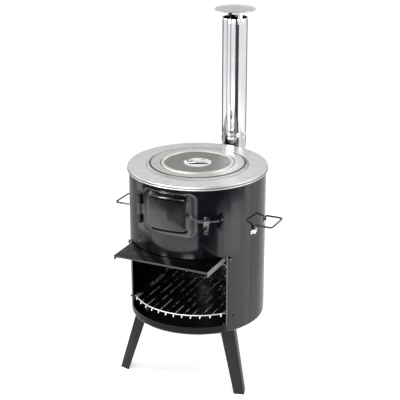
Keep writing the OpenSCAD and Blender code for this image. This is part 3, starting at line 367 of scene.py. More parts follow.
def finish_piece(name, mesh, material, body, stands_for, smooth=35):
    """Puts a mesh into the scene as a piece that rides on a body."""
    mesh.name = name
    mesh.materials.clear()
    mesh.materials.append(material)
    for polygon in mesh.polygons:
        polygon.use_smooth = True
        polygon.material_index = 0
    mesh.set_sharp_from_angle(angle=math.radians(smooth))
    piece = bpy.data.objects.new(name, mesh)
    bpy.context.scene.collection.objects.link(piece)
    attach(piece, body)
    if stands_for:
        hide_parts(*stands_for)


def shaped(mesh, kind, settings, sockets=None):
    """What one modifier makes of a mesh."""
    holder = bpy.data.objects.new("shaping", mesh)
    bpy.context.scene.collection.objects.link(holder)
    change = holder.modifiers.new("change", kind)
    for key, value in settings.items():
        setattr(change, key, value)
    for key, value in (sockets or {}).items():
        change[key] = value
    made = bpy.data.meshes.new_from_object(holder.evaluated_get(bpy.context.evaluated_depsgraph_get()))
    holder.modifiers.clear()
    bpy.data.objects.remove(holder)
    return made


def make_mesh(verts, faces):
    """A clean mesh from points in mm, with its faces turned outward."""
    mesh = bpy.data.meshes.new("mesh")
    mesh.from_pydata([tuple(c * MM for c in v) for v in verts], [], faces)
    work = bmesh.new()
    work.from_mesh(mesh)
    bmesh.ops.remove_doubles(work, verts=work.verts, dist=1e-6)
    bmesh.ops.dissolve_degenerate(work, edges=work.edges, dist=1e-7)
    bmesh.ops.recalc_face_normals(work, faces=work.faces)
    work.to_mesh(mesh)
    work.free()
    return mesh


def merged(meshes):
    """One mesh from several, which are removed."""
    work = bmesh.new()
    for mesh in meshes:
        work.from_mesh(mesh)
        bpy.data.meshes.remove(mesh)
    made = bpy.data.meshes.new("mesh")
    work.to_mesh(made)
    work.free()
    return made


def rounded(points, radii, steps=5, closed=False):
    """Replaces each corner of a path by an arc with its own radius."""
    count = len(points)
    made = []
    for i, p in enumerate(points):
        here = Vector(p)
        if (not closed and i in (0, count - 1)) or radii[i] <= 0:
            made.append(here)
            continue
        before, after = Vector(points[i - 1]) - here, Vector(points[(i + 1) % count]) - here
        angle = before.angle(after)
        if angle > math.pi - 0.01:
            made.append(here)
            continue
        reach = min(radii[i] / math.tan(angle / 2), before.length * 0.49, after.length * 0.49)
        start, end = here + before.normalized() * reach, here + after.normalized() * reach
        bend = reach * math.tan(angle / 2)
        middle = here + (before.normalized() + after.normalized()).normalized() * (bend / math.sin(angle / 2))
        for k in range(steps + 1):
            spoke = (start - middle).lerp(end - middle, k / steps)
            made.append(middle + spoke.normalized() * bend)
    return made


def sheet_outline(path, thick):
    """Closed outline of a sheet whose middle line is a path in a plane, with round edges."""
    left, right = [], []
    for i, p in enumerate(path):
        along = (path[min(i + 1, len(path) - 1)] - path[max(i - 1, 0)]).normalized()
        side = Vector((-along.y, along.x)) * thick / 2
        left.append(p + side)
        right.append(p - side)

    def edge(centre, start):
        arm = start - centre
        return [centre + Matrix.Rotation(-math.pi * k / 4, 2) @ arm for k in (1, 2, 3)]

    return left + edge(path[-1], left[-1]) + right[::-1] + edge(path[0], right[0])


def arc(centre, radius, start, end, steps):
    """Points on an arc in a plane, angles in degrees."""
    angles = [math.radians(start + (end - start) * k / steps) for k in range(steps + 1)]
    return [Vector((centre[0] + radius * math.cos(a), centre[1] + radius * math.sin(a))) for a in angles]


def lathe(outline, segments, y=0.0, turns=None):
    """Closed solid from an outline of radius and height, round the upright axis at y."""
    verts, faces = [], []
    count = len(outline)
    start, end = turns or (0, 360)
    rows = segments + 1 if turns else segments
    for k in range(rows):
        x_share, y_share = outward(start + (end - start) * k / segments)
        for p in outline:
            radius = max(p[0], 0)
            verts.append((radius * x_share, y / MM + radius * y_share, p[1]))
    for k in range(segments):
        a, b = k * count, ((k + 1) % rows) * count
        for i in range(count):
            j = (i + 1) % count
            faces.append((a + i, a + j, b + j, b + i))
    if turns:
        faces.append(tuple(range(count)))
        faces.append(tuple(range((rows - 1) * count, rows * count))[::-1])
    return make_mesh(verts, faces)


def tube(points, radius, sides, closed=False, inner=None):
    """Round wire or pipe along points, with closed ends."""
    line = [Vector(p) for p in points]
    count = len(line)
    frames, side = [], None
    for i in range(count):
        before = line[i - 1] if (closed or i) else line[0]
        after = line[(i + 1) % count] if (closed or i < count - 1) else line[-1]
        along = (after - before).normalized()
        if side is None:
            side = along.orthogonal().normalized()
        side = (side - along * side.dot(along)).normalized()
        frames.append((line[i], side.copy(), along.cross(side)))
    verts, faces = [], []

    def shell(r, flip):
        start = len(verts)
        for centre, u, v in frames:
            for k in range(sides):
                a = 2 * math.pi * k / sides
                verts.append(centre + u * (r * math.cos(a)) + v * (r * math.sin(a)))
        for i in range(count if closed else count - 1):
            for k in range(sides):
                q = (k + 1) % sides
                a, b = start + i * sides, start + ((i + 1) % count) * sides
                face = (a + k, a + q, b + q, b + k)
                faces.append(face[::-1] if flip else face)
        return start

    outer = shell(radius, False)
    last = (count - 1) * sides
    if inner:
        bore = shell(inner, True)
        for k in range(sides):
            q = (k + 1) % sides
            faces.append((outer + q, outer + k, bore + k, bore + q))
            faces.append((outer + last + k, outer + last + q, bore + last + q, bore + last + k))
    elif not closed:
        for at, tip, before in ((outer, line[0], line[1]), (outer + last, line[-1], line[-2])):
            out = (tip - before).normalized()
            ring, first = [at + k for k in range(sides)], at == outer
            for share, lift in ((0.8, 0.25), (0.45, 0.4)):
                start = len(verts)
                for k in range(sides):
                    verts.append(tip + (verts[at + k] - tip) * share + out * radius * lift)
                for k in range(sides):
                    q = (k + 1) % sides
                    face = (ring[k], ring[q], start + q, start + k)
                    faces.append(face[::-1] if first else face)
                ring = [start + k for k in range(sides)]
            faces.append(tuple(ring[::-1]) if first else tuple(ring))
    return make_mesh([tuple(v) for v in verts], faces)


def refined(node, name, material, body, width):
    """A copy of a CAD node with its loose triangles merged and its edges broken by a small bevel."""
    work = bmesh.new()
    work.from_mesh(nodes[node].data)
    bmesh.ops.remove_doubles(work, verts=work.verts, dist=2e-6)
    bmesh.ops.dissolve_degenerate(work, edges=work.edges, dist=1e-6)
    bmesh.ops.dissolve_limit(work, angle_limit=math.radians(0.6), verts=work.verts, edges=work.edges)
    mesh = bpy.data.meshes.new(name)
    work.to_mesh(mesh)
    work.free()
    made = shaped(mesh, "BEVEL", {"width": width * MM, "segments": 2, "limit_method": "ANGLE",
                                  "angle_limit": math.radians(32), "use_clamp_overlap": True})
    finish_piece(name, made, material, body, [node], 30)


def drum_point(across, z, radius):
    """A point on a circle round the drum, straight across from its middle plane."""
    return (across, DRUM_Y / MM - math.sqrt(radius * radius - across * across), z)


def round_wall(x_share, y_share, radius, z):
    """A point at a radius round the drum, from a level direction."""
    return Vector((radius * x_share, DRUM_Y / MM + radius * y_share, z))


# Cooking top

def top_pieces():
    plate = rounded([(113, 588.5), (126.45, 588.5), (126.6, 592.5), (134, 587.5), (183.3, 587.5),
                     (183.3, 581.4)], [0, 1.2, 1.1, 5, 2.2, 0]) + arc((182.9, 579.2), 1.5, 62, -200, 14)
    plate_mesh = lathe(sheet_outline(plate, 1.0), 256, DRUM_Y)
    finish_piece("top_sheet", plate_mesh, ZINC, "stove", ["top_plate"])
    ring = rounded([(86.6, 589.9), (98.6, 589.9), (98.6, 592.7), (107, 592.7), (111, 592.75), (115, 592.7),
                    (123.4, 592.7), (123.4, 589.9)], [0, 0.8, 1.1, 3, 4, 3, 1.2, 0])
    ring_mesh = lathe(sheet_outline(ring, 1.2), 224, DRUM_Y)
    finish_piece("ring_sheet", ring_mesh, WARM_ZINC, "ring", ["cooking_ring"])
    bead = arc((91.5, 590.8), 4.4, 8, 172, 14)
    dish_r, bowl_r, bowl_z = 36.6, 63.64, 643.04
    bowl = arc((0, bowl_z), bowl_r, -90 + math.degrees(math.asin(dish_r / bowl_r)), -90, 14)
    flat = [Vector((radius, 591.4)) for radius in (86.4, 60, 38.6)]
    lid_mesh = lathe(sheet_outline(bead[:-2] + flat + bowl, 1.1), 224, DRUM_Y)
    finish_piece("lid_sheet", lid_mesh, LID_STEEL, "lid", ["lid"])


# Fire door

def rim_outline(width, height, corner):
    """Points round a rectangle with round corners, the same count for every size."""
    made = []
    steps, side_parts, least_side = 8, 14, 6
    w, h = width / 2 - corner, height / 2 - corner
    for sx, sz, start in ((1, 1, 0), (-1, 1, 90), (-1, -1, 180), (1, -1, 270)):
        for k in range(steps + 1):
            a = math.radians(start + 90 * k / steps)
            made.append((sx * w + corner * math.cos(a), sz * h + corner * math.sin(a)))
    full = []
    for i, p in enumerate(made):
        q = made[(i + 1) % len(made)]
        full.append(p)
        if math.dist(p, q) > least_side:
            full += [(p[0] + (q[0] - p[0]) * k / side_parts, p[1] + (q[1] - p[1]) * k / side_parts)
                     for k in range(1, side_parts)]
    return full


def door_piece():
    """Pressed door: rolled flange, stepped frame and a raised panel on the drum's curve."""
    inner, outer = 180.35, 181.5
    frame_w, flange_drop, crown = 140, 1.6, 0.4
    panel = (98.6, 80.8, 7.7)
    panel_rise = 8.4
    # Width, height, corner and rise of each step, from the flange's edge to the panel
    steps = [(152, 117, 18, -0.7), (151.6, 116.6, 17.8, -0.2), (150.6, 115.6, 17.3, 0.2),
             (149, 114, 16.6, 0.4), (147.2, 112.6, 15.8, 0.15), (146, 111.6, 15.4, 0.0),
             (114.6, 105.4, 14, 0.0), (113.2, 104.2, 13.5, 0.2), (112, 102.8, 12.9, 0.8),
             (111, 101.2, 12.4, 1.8), (108.4, 94.9, 11.2, 4.5), (105.8, 89.2, 9.8, 6.7),
             (104.4, 86.9, 9.2, 7.6), (102.8, 84.9, 8.7, 8.15), (101, 83, 8.2, 8.38), (*panel, panel_rise)]
    rings = []
    for w, h, corner, rise in steps:
        drop = flange_drop if w > frame_w else 0
        rings.append([drum_point(x, DOOR_Z + z - drop, outer + rise) for x, z in rim_outline(w, h, corner)])
    for share in (0.85, 0.7, 0.55, 0.4, 0.25, 0.1):
        radius = outer + (panel_rise + crown * (1 - share * share))
        rings.append([drum_point(x * share, DOOR_Z + z * share, radius) for x, z in rim_outline(*panel)])
    verts, faces = [point for ring in rings for point in ring], []
    count = len(rings[0])
    for r in range(len(rings) - 1):
        for k in range(count):
            q = (k + 1) % count
            faces.append((r * count + k, r * count + q, (r + 1) * count + q, (r + 1) * count + k))
    verts.append(drum_point(0, DOOR_Z, outer + panel_rise + crown))
    last = (len(rings) - 1) * count
    for k in range(count):
        faces.append((last + k, last + (k + 1) % count, len(verts) - 1))
    mesh = make_mesh(verts, faces)
    if sum(p.normal.y * p.area for p in mesh.polygons) > 0:
        mesh.flip_normals()
    shell = shaped(mesh, "SOLIDIFY", {"thickness": (outer - inner) * MM, "offset": -1})
    strap = sheet_outline([Vector((181.9, HINGE_Z + s)) for s in (-13, 0, 13)], 1.5)
    tongue = lathe(strap, 16, DRUM_Y, (HINGE_TURN + 0.1, HINGE_TURN + 6.6))
    finish_piece("door_pressing", shell, DOOR_ENAMEL, "fire_door", ["fire_door"], 40)
    finish_piece("door_knuckle", merged([tongue, knuckle_mesh(HINGE_Z - 14, HINGE_Z + 14)]), KNUCKLE_ENAMEL,
                 "fire_door", (), 40)


def on_hinge(mesh):
    """Moves a mesh from the upright axis at the origin to the hinge's axis."""
    centre = round_wall(*outward(HINGE_TURN), HINGE_R, 0)
    mesh.transform(Matrix.Translation(centre * MM))
    return mesh


def knuckle_mesh(low, high):
    """Rolled knuckle round the hinge pin, with broken edges."""
    outline = rounded([(2.6, low), (4.5, low), (4.5, high), (2.6, high)], [0.3, 0.5, 0.5, 0.3], 3, True)
    return on_hinge(lathe(outline, 40))


def hinge_pieces():
    leaf = sheet_outline([Vector((180.9, HINGE_Z + s)) for s in (-42.4, -20, 0, 20, 42.4)], 1.2)
    parts = [lathe(leaf, 20, DRUM_Y, (HINGE_TURN - math.degrees(20 / DRUM_R), HINGE_TURN))]
    for side in (-1, 1):
        low = HINGE_Z + side * 25.5 - 11
        parts.append(knuckle_mesh(low, low + 22))
        root = sheet_outline([Vector((182.4, low + 0.9)), Vector((182.4, low + 21.1))], 2.6)
        parts.append(lathe(root, 6, DRUM_Y, (HINGE_TURN - 1.25, HINGE_TURN - 0.12)))
    finish_piece("hinge_leaf_sheet", merged(parts), HINGE_ENAMEL, "stove", ["hinge_leaf"])
    x_share, y_share = outward(HINGE_TURN)
    foot = round_wall(x_share, y_share, HINGE_R, HINGE_Z - 39)
    top = round_wall(x_share, y_share, HINGE_R, HINGE_Z + 36.5)
    tail = Vector((y_share, -x_share, 0))
    bend_r = 3
    wire = [top, foot + Vector((0, 0, bend_r))]
    wire += [foot + tail * (bend_r - bend_r * math.cos(t)) + Vector((0, 0, bend_r - bend_r * math.sin(t)))
             for t in (0.3, 0.6, 0.9, 1.2, 1.5)]
    wire.append(foot + tail * 8)
    head_r, head_h = 4.5, 1.5
    head = rounded([(0, top.z), (head_r, top.z), (head_r, top.z + head_h), (0, top.z + head_h)],
                   [0, 0.2, 0.7, 0], 4, True)
    finish_piece("hinge_wire", merged([tube(wire, 2.5, 20), on_hinge(lathe(head, 32))]), GRIP_BLACK, "stove",
                 ["hinge_pin"])


# Chimney

def chimney_pieces():
    low, high = 602.35, 930.5
    wall = sheet_outline([Vector((33.5, low + (high - low) * k / 24)) for k in range(25)], 1.0)
    lap = sheet_outline([Vector((34.05, z)) for z in (604, 700, 929)], 0.5)
    pipe = merged([lathe(wall, 160, FLUE_Y), lathe(lap, 6, FLUE_Y, (150, 156))])
    finish_piece("flue_tube", pipe, POLISHED, "chimney", ["flue_pipe"], 40)
    bend_y, bend_z, bend_r = 196, 572, 44
    bend = [Vector((0, bend_y - 12 + 3 * k, bend_z - bend_r)) for k in range(4)]
    bend += [Vector((0, bend_y + bend_r * math.sin(a), bend_z - bend_r * math.cos(a)))
             for a in map(math.radians, range(0, 91, 5))]
    bend += [Vector((0, bend_y + bend_r, bend_z + 7.5 * k)) for k in range(1, 5)]
    shift = Vector((0, DRUM_Y / MM, 0))
    neck = lathe(sheet_outline([Vector((32.2, z)) for z in (596, 612, 626.5)], 1.0), 96, FLUE_Y)
    elbow = merged([tube([p + shift for p in bend], 34, 72, inner=33), neck])
    finish_piece("flue_bend", elbow, POLISHED, "elbow", ["flue_elbow"], 40)
    cone = rounded([(0, 961.5), (5, 960.8), (CAP_R - 1.4, 953.85), (CAP_R - 0.4, 953.4)], [0, 6, 1, 0])
    brim = arc((CAP_R - 1.1, 953.1), 0.9, 40, -200, 8)
    finish_piece("cap_sheet", lathe(sheet_outline(cone[:-1] + brim, 0.9), 128, FLUE_Y), CAP_STEEL, "chimney",
                 ["rain_cap"])


# Wire pieces

def handle_piece(side, name, node):
    """Bent wire handle with feet that run down the drum under the clips."""
    reach, z, foot_z, off_wall = 227.0, 458.0, 434.0, 2.8
    wall = math.sqrt(DRUM_R ** 2 - HANDLE_HALF_W ** 2)
    foot = wall + off_wall / math.cos(math.asin(HANDLE_HALF_W / DRUM_R))
    arm = [(foot, foot_z), (foot, z), (reach, z)]
    corners = [(x, HANDLE_HALF_W, h) for x, h in arm] + [(x, -HANDLE_HALF_W, h) for x, h in arm[::-1]]
    path = rounded([(side * x, y + DRUM_Y / MM, h) for x, y, h in corners], [0, 5.2, 8, 8, 5.2, 0], 8)
    finish_piece(name, tube(path, 2.5, 22), HANDLE_WIRE_SHADED, "stove", [node])


def growth_tree(name, output, inputs):
    """An empty geometry tree, the sockets of its input node and the socket of its output node."""
    tree = bpy.data.node_groups.new(name, "GeometryNodeTree")
    for label, kind in inputs:
        tree.interface.new_socket(label, in_out="INPUT", socket_type="NodeSocket" + kind)
    tree.interface.new_socket(output, in_out="OUTPUT", socket_type="NodeSocketGeometry")
    return tree, tree.nodes.new("NodeGroupInput").outputs, tree.nodes.new("NodeGroupOutput").inputs[0]


def point_value(tree, label, kind="FLOAT"):
    return wired(tree, "GeometryNodeInputNamedAttribute", {"Name": label}, "Attribute", data_type=kind)


def own_place(tree):
    """X, Y and Z of each point of a shape."""
    return wired(tree, "ShaderNodeSeparateXYZ", {0: wired(tree, "GeometryNodeInputPosition")}, None)


def rack_wire_tree():
    """Straight wires cut to the hoop's width, one for each point of the row, with their tips turned down."""
    tree, given, out = growth_tree("rack_wires", "Wires", (
        ("Row", "Geometry"), ("Wire Radius", "Float"), ("End Drop", "Float"), ("Wire Finish", "Material")))
    line = wired(tree, "GeometryNodeCurvePrimitiveLine", {"Start": (0, -1, 0), "End": (0, 1, 0)})
    line = wired(tree, "GeometryNodeResampleCurve", {"Curve": line, "Count": 21})
    along = own_place(tree)["Y"]
    crowded = math_node(tree, "SINE", math_node(tree, "MULTIPLY", along, math.pi / 2))
    at_end = math_node(tree, "GREATER_THAN", math_node(tree, "ABSOLUTE", along), 0.95)
    drop = math_node(tree, "MULTIPLY", at_end, given["End Drop"])
    place = wired(tree, "ShaderNodeCombineXYZ", {"Y": crowded, "Z": math_node(tree, "MULTIPLY", drop, -1.0)})
    wire = wired(tree, "GeometryNodeSetPosition", {"Geometry": line, "Position": place})
    stretch = wired(tree, "ShaderNodeCombineXYZ", {"X": 1, "Y": point_value(tree, "half_length"), "Z": 1})
    spread = {"Points": given["Row"], "Instance": wire, "Scale": stretch}
    wires = wired(tree, "GeometryNodeInstanceOnPoints", spread)
    wires = wired(tree, "GeometryNodeRealizeInstances", {0: wires})
    ring = wired(tree, "GeometryNodeCurvePrimitiveCircle", {"Resolution": 16, "Radius": given["Wire Radius"]})
    skin = wired(tree, "GeometryNodeCurveToMesh", {"Curve": wires, "Profile Curve": ring, "Fill Caps": True})
    paint = {"Geometry": skin, "Material": given["Wire Finish"]}
    tree.links.new(wired(tree, "GeometryNodeSetMaterial", paint), out)
    return tree


def grown(tree, points, label, kind, values, inputs):
    """Runs a node tree on loose points that each carry one value, and returns its mesh."""
    seed = bpy.data.meshes.new("points")
    seed.from_pydata([tuple(c * MM for c in p) for p in points], [], [])
    layer = seed.attributes.new(label, kind, "POINT")
    for item, value in zip(layer.data, values):
        setattr(item, "value" if kind == "FLOAT" else "vector", value)
    sockets = {s.name: s.identifier for s in tree.interface.items_tree if s.in_out == "INPUT"}
    return shaped(seed, "NODES", {"node_group": tree}, {sockets[key]: value for key, value in inputs.items()})


def rack_piece():
    half, z, wire_z, pitch = 127.0, 231.0, 228.05, 22.4
    swing = math.degrees(math.asin(half / RACK_R))
    turns = [swing * (k / 20 - 1) for k in range(41)]
    front = [Vector((*(RACK_R * c for c in outward(t)), z)) for t in turns]
    back = [Vector((-p.x, -p.y, z)) for p in front]
    hoop = front[:-1] + rounded([front[-2], front[-1], back[0], back[1]], [0, 4, 4, 0], 5)[1:-1]
    hoop += back[1:-1] + rounded([back[-2], back[-1], front[0], front[1]], [0, 4, 4, 0], 5)[1:-1]
    hoop = [p for i, p in enumerate(hoop[1:]) if (p - hoop[i]).length > 0.05]
    shift = Vector((0, DRUM_Y / MM, 0))
    frame_wire = tube([p + shift for p in hoop], 1.6, 16, closed=True)
    across = [(i + 0.5) * pitch * side for i in range(6) for side in (-1, 1)]
    row = [(x, DRUM_Y / MM, wire_z) for x in across]
    lengths = [(math.sqrt(RACK_R ** 2 - x ** 2) + 3) * MM for x in across]
    wires = grown(rack_wire_tree(), row, "half_length", "FLOAT", lengths,
                  {"Wire Radius": 1.4 * MM, "End Drop": 4.5 * MM, "Wire Finish": RACK_WIRE})
    finish_piece("rack_wirework", merged([frame_wire, wires]), RACK_WIRE, "rack", ["grill_rack"])


def mouth_fold():
    """Sheet folded back along both sides of the lower opening, its enamel lighter as a painted highlight, and
    a black strip beside the fold as painted shadow of the gap behind it.
    """
    low, step = 200.4, 48
    for name, radius, thick, start, end, finish in (
        ("mouth_fold", 180.7, 1.0, 49.15, 50.05, FOLD_PAINTED_HIGHLIGHT),
        # A black strip standing in for the shadow beside the fold
        ("mouth_fold_gap", 180.2, 0.3, 50.1, 50.8, PAINTED_SHADOW_BLACK),
    ):
        strip = sheet_outline([Vector((radius, low + step * k)) for k in range(5)], thick)
        sides = [lathe(strip, 4, DRUM_Y, (side * start, side * end)) for side in (-1, 1)]
        finish_piece(name, merged(sides), finish, "stove", ())


# Rivets

def rivet_tree():
    """Domed rivet with a shank and a flattened tail, turned to the axis of each point."""
    tree, given, out = growth_tree("rivets", "Rivets", (
        ("Places", "Geometry"), ("Head Radius", "Float"), ("Head Height", "Float"),
        ("Shank Radius", "Float"), ("Grip", "Float"), ("Rivet Finish", "Material")))

    def times(value, share):
        return math_node(tree, "MULTIPLY", value, share)

    def moved(geometry, height=0.0, flat=1.0):
        shift = wired(tree, "ShaderNodeCombineXYZ", {"Z": height})
        scale = wired(tree, "ShaderNodeCombineXYZ", {"X": 1, "Y": 1, "Z": flat})
        inputs = {"Geometry": geometry, "Translation": shift, "Scale": scale}
        return wired(tree, "GeometryNodeTransform", inputs)

    def barrel(radius, depth):
        inputs = {"Vertices": 24, "Radius": radius, "Depth": depth}
        return wired(tree, "GeometryNodeMeshCylinder", inputs, "Mesh")

    globe = {"Segments": 32, "Rings": 16, "Radius": given["Head Radius"]}
    ball = wired(tree, "GeometryNodeMeshUVSphere", globe, "Mesh")
    place = own_place(tree)
    half = {"X": place["X"], "Y": place["Y"], "Z": math_node(tree, "MAXIMUM", place["Z"], 0)}
    upper = wired(tree, "ShaderNodeCombineXYZ", half)
    dome = moved(wired(tree, "GeometryNodeSetPosition", {"Geometry": ball, "Position": upper}),
                 flat=math_node(tree, "DIVIDE", given["Head Height"], given["Head Radius"]))
    shank = moved(barrel(given["Shank Radius"], given["Grip"]), times(given["Grip"], -0.5))
    thin = times(given["Head Height"], 0.7)
    depth = math_node(tree, "ADD", given["Grip"], times(thin, 0.5))
    tail = moved(barrel(given["Head Radius"], thin), times(depth, -1.0))
    whole = tree.nodes.new("GeometryNodeJoinGeometry")
    for part in (dome, shank, tail):
        tree.links.new(part, whole.inputs[0])
    axis = point_value(tree, "axis", "FLOAT_VECTOR")
    turn = wired(tree, "FunctionNodeAlignRotationToVector", {"Vector": axis}, axis="Z")
    spread = {"Points": given["Places"], "Instance": whole.outputs[0], "Rotation": turn}
    rivets = wired(tree, "GeometryNodeInstanceOnPoints", spread)
    rivets = wired(tree, "GeometryNodeRealizeInstances", {0: rivets})
    paint = {"Geometry": rivets, "Material": given["Rivet Finish"]}
    tree.links.new(wired(tree, "GeometryNodeSetMaterial", paint), out)
    return tree


def on_drum(turn, z, radius, across=0.0):
    """Place and outward axis of a rivet on the drum, moved sideways in its tangent plane."""
    x_share, y_share = outward(turn)
    side = Vector((-y_share, x_share, 0))
    return round_wall(x_share, y_share, radius, z) + side * across, Vector((x_share, y_share, 0))


def on_chimney(turn, radius, z, tilt):
    """Place and axis of a rivet on the chimney, the axis tilted from upright."""
    out = Vector((*outward(turn), 0))
    return out * radius + Vector((0, FLUE_Y / MM, z)), out * math.sin(tilt) + Vector((0, 0, math.cos(tilt)))


def rivet_pieces():
    tree = rivet_tree()
    both, cap_turns = (-1, 1), (45, 225)
    # Rivets stand at this share of a strip's length from its middle
    near_end = 0.36
    clip_z, clip_w, clip_wall = 441, 28, 178.807
    clip_turn = math.degrees(math.atan(HANDLE_HALF_W / clip_wall))
    collar_z, diagonal = 528, 39.5 * math.sin(math.pi / 4)
    back = math.degrees(math.asin(diagonal / DRUM_R))
    strap_r, strap_in = 34.3, 9
    cap_at = strap_r - strap_in
    cap_z, slope = CAP_Z + CAP_RISE * (1 - cap_at / CAP_R), math.atan(CAP_RISE / CAP_R)
    leaf_h, leaf_w = 86, 20
    leaf_turn = HINGE_TURN - 0.68 * math.degrees(leaf_w / DRUM_R)
    keeper_top, keeper_h, keeper_turn = 495.2, 36, LEVER_TURN + 11.2
    grip_turn, grip_z = LEVER_TURN + 23, 502.5
    groups = [
        ("hinge_rivet_set", "hinge_rivets", HINGE_ENAMEL, "charcoal", "stove", 2.8,
         [on_drum(leaf_turn, HINGE_Z + s * near_end * leaf_h, 181.5) for s in both]),
        ("keeper_rivet_set", "keeper_rivets", DARK_PLATED, "bolts", "stove", 3.1,
         [on_drum(keeper_turn, keeper_top - keeper_h * share, 181.8) for share in (0.36, 0.74)]),
        ("collar_rivet_set", "collar_rivets", PLATED, "bolts", "stove", 2.8,
         [on_drum(180 + x * back, collar_z + z * diagonal, 181.5) for x in both for z in both]),
        ("clip_rivet_set", "clip_rivets", PLATED, "bolts", "stove", 3.1,
         [on_drum(side + arm * clip_turn, clip_z, 181.5, wing * clip_w * near_end)
          for side in (-90, 90) for arm in both for wing in both]),
        ("grip_rivet_set", "grip_rivet", DARK_PLATED, "bolts", "latch", 5.6,
         [on_drum(grip_turn, grip_z, 193.8)]),
        ("cap_rivet_set", "cap_rivets", PLATED, "bolts", "chimney", 2.8,
         [on_chimney(t, 35.5, 924, math.pi / 2) for t in cap_turns]
         + [on_chimney(t, cap_at, cap_z, slope) for t in cap_turns]),
    ]
    for name, node, finish, slot, body, grip, places in groups:
        points, axes = zip(*places)
        mesh = grown(tree, points, "axis", "FLOAT_VECTOR", axes,
                     {"Head Radius": 3.2 * MM, "Head Height": 1.4 * MM, "Shank Radius": 1.6 * MM,
                      "Grip": grip * MM, "Rivet Finish": finish})
        finish_piece(name, mesh, finish, body, [node], 40)


top_pieces()
door_piece()
hinge_pieces()
chimney_pieces()
handle_piece(-1, "handle_wire_left", "handle_left")
handle_piece(1, "handle_wire_right", "handle_right")
rack_piece()
mouth_fold()
rivet_pieces()

# The remaining pieces keep the CAD shape, with edges broken by the width in mm
for node, name, finish, body, slot, width in (
    ("leg_left", "leg_left_angle", CHARCOAL, "stove", "charcoal", 0.5),
    ("leg_right", "leg_right_angle", CHARCOAL, "stove", "charcoal", 0.5),
    ("leg_rear", "leg_rear_angle", CHARCOAL, "stove", "charcoal", 0.5),
    ("flap_door", "flap_sheet", FLAP_ENAMEL, "flap", "enamel", 0.45),
    ("latch_lever", "lever_strip", LEVER_STEEL, "latch", "charcoal", 0.4),
    ("lever_grip", "grip_tongue", GRIP_BLACK, "latch", "grip", 0.6),
    ("latch_keeper", "keeper_strap", KEEPER_STEEL, "stove", "bolts", 0.3),
    ("latch_rivet", "lever_rivet", DARK_PLATED, "fire_door", "bolts", 0.4),
    ("lift_bar", "lift_strip", CHROME, "lid", "chrome", 0.4),
    ("handle_clips", "clip_saddles", CLIP_ZINC, "stove", "bolts", 0.25),
    ("cap_straps", "cap_strap_pair", CHROME, "chimney", "chrome", 0.25),
    ("rack_brackets", "bracket_angles", PLATED, "stove", "bolts", 0.3),
    ("leg_nuts", "nut_set", PLATED, "stove", "bolts", 0.4),
    ("leg_bolts", "bolt_set", PLATED, "stove", "bolts", 0.4),
    ("flap_screws", "screw_pair", DARK_PLATED, "stove", "bolts", 0.5),
    ("fire_grate", "grate_casting", IRON, "grate", "iron", 0.6),
):
    refined(node, name, finish, body, width)

for node, finish in (("body_shell", ENAMEL), ("bottom_pan", INNER), ("firebox_floor", INNER),
                     ("flue_collar", COLLAR_ZINC), ("bracket_rivets", ENAMEL)):
    data = nodes[node].data
    data.materials.clear()
    data.materials.append(finish)


# Floor, light and camera

def sight_share(tree):
    """1 for rays from the camera, and for those seen in metal or through glass."""
    path = wired(tree, "ShaderNodeLightPath", out=None)
    mirrored = math_node(tree, "MAXIMUM", path["Is Camera Ray"], path["Is Glossy Ray"])
    return math_node(tree, "MAXIMUM", mirrored, path["Is Transmission Ray"])


def studio_surface(name, finish, corners, faces):
    """A mesh object for the studio, and the empty tree of its material."""
    mesh = bpy.data.meshes.new(name)
    mesh.from_pydata(corners, [], faces)
    made = bpy.data.objects.new(name, mesh)
    bpy.context.scene.collection.objects.link(made)
    paint = bpy.data.materials.new(finish)
    paint.use_nodes = True
    paint.node_tree.nodes.clear()
    mesh.materials.append(paint)
    return made, paint.node_tree


def shown(tree, shader, kind="ShaderNodeOutputMaterial"):
    tree.links.new(shader, tree.nodes.new(kind).inputs["Surface"])


def make_floor():
    """Pale floor, with a glow of its own where it is seen."""
    size = 30.0
    corners = [(-size, -size, 0), (size, -size, 0), (size, size, 0), (-size, size, 0)]
    floor, tree = studio_surface("floor", "pale_floor", corners, [(0, 1, 2, 3)])
    matt = wired(tree, "ShaderNodeBsdfDiffuse", {"Color": (0.9, 0.9, 0.9, 1)})
    glow = math_node(tree, "MULTIPLY", sight_share(tree), 0.42)
    lift = wired(tree, "ShaderNodeEmission", {"Strength": glow})
    shown(tree, wired(tree, "ShaderNodeAddShader", {0: matt, 1: lift}))


def make_world():
    """White surroundings, brighter for what is seen than for what is lit."""
    world = bpy.data.worlds.new("studio")
    bpy.context.scene.world = world
    world.use_nodes = True
    tree = world.node_tree
    tree.nodes.clear()
    soft, plain = (wired(tree, "ShaderNodeBackground", {"Color": (1, 1, 1, 1), "Strength": strength})
                   for strength in (0.62, 1.0))
    shown(tree, wired(tree, "ShaderNodeMixShader", {0: sight_share(tree), 1: soft, 2: plain}),
          "ShaderNodeOutputWorld")


def soft_box(name, turn, rise, distance, width, height, power):
    """Area lamp at an angle round the stove from its front, aimed at its middle."""
    lamp = bpy.data.lights.new(name, "AREA")
    lamp.shape = "RECTANGLE"
    lamp.size, lamp.size_y = width, height
    lamp.energy = power
    box = bpy.data.objects.new(name, lamp)
    bpy.context.scene.collection.objects.link(box)
    a, e = math.radians(turn), math.radians(rise)
    away = Vector((math.sin(a) * math.cos(e), -math.cos(a) * math.cos(e), math.sin(e)))
    middle = Vector((0, DRUM_Y, 0.45))
    box.location = middle + away * distance
    box.rotation_mode = "QUATERNION"
    box.rotation_quaternion = away.to_track_quat("Z", "Y")


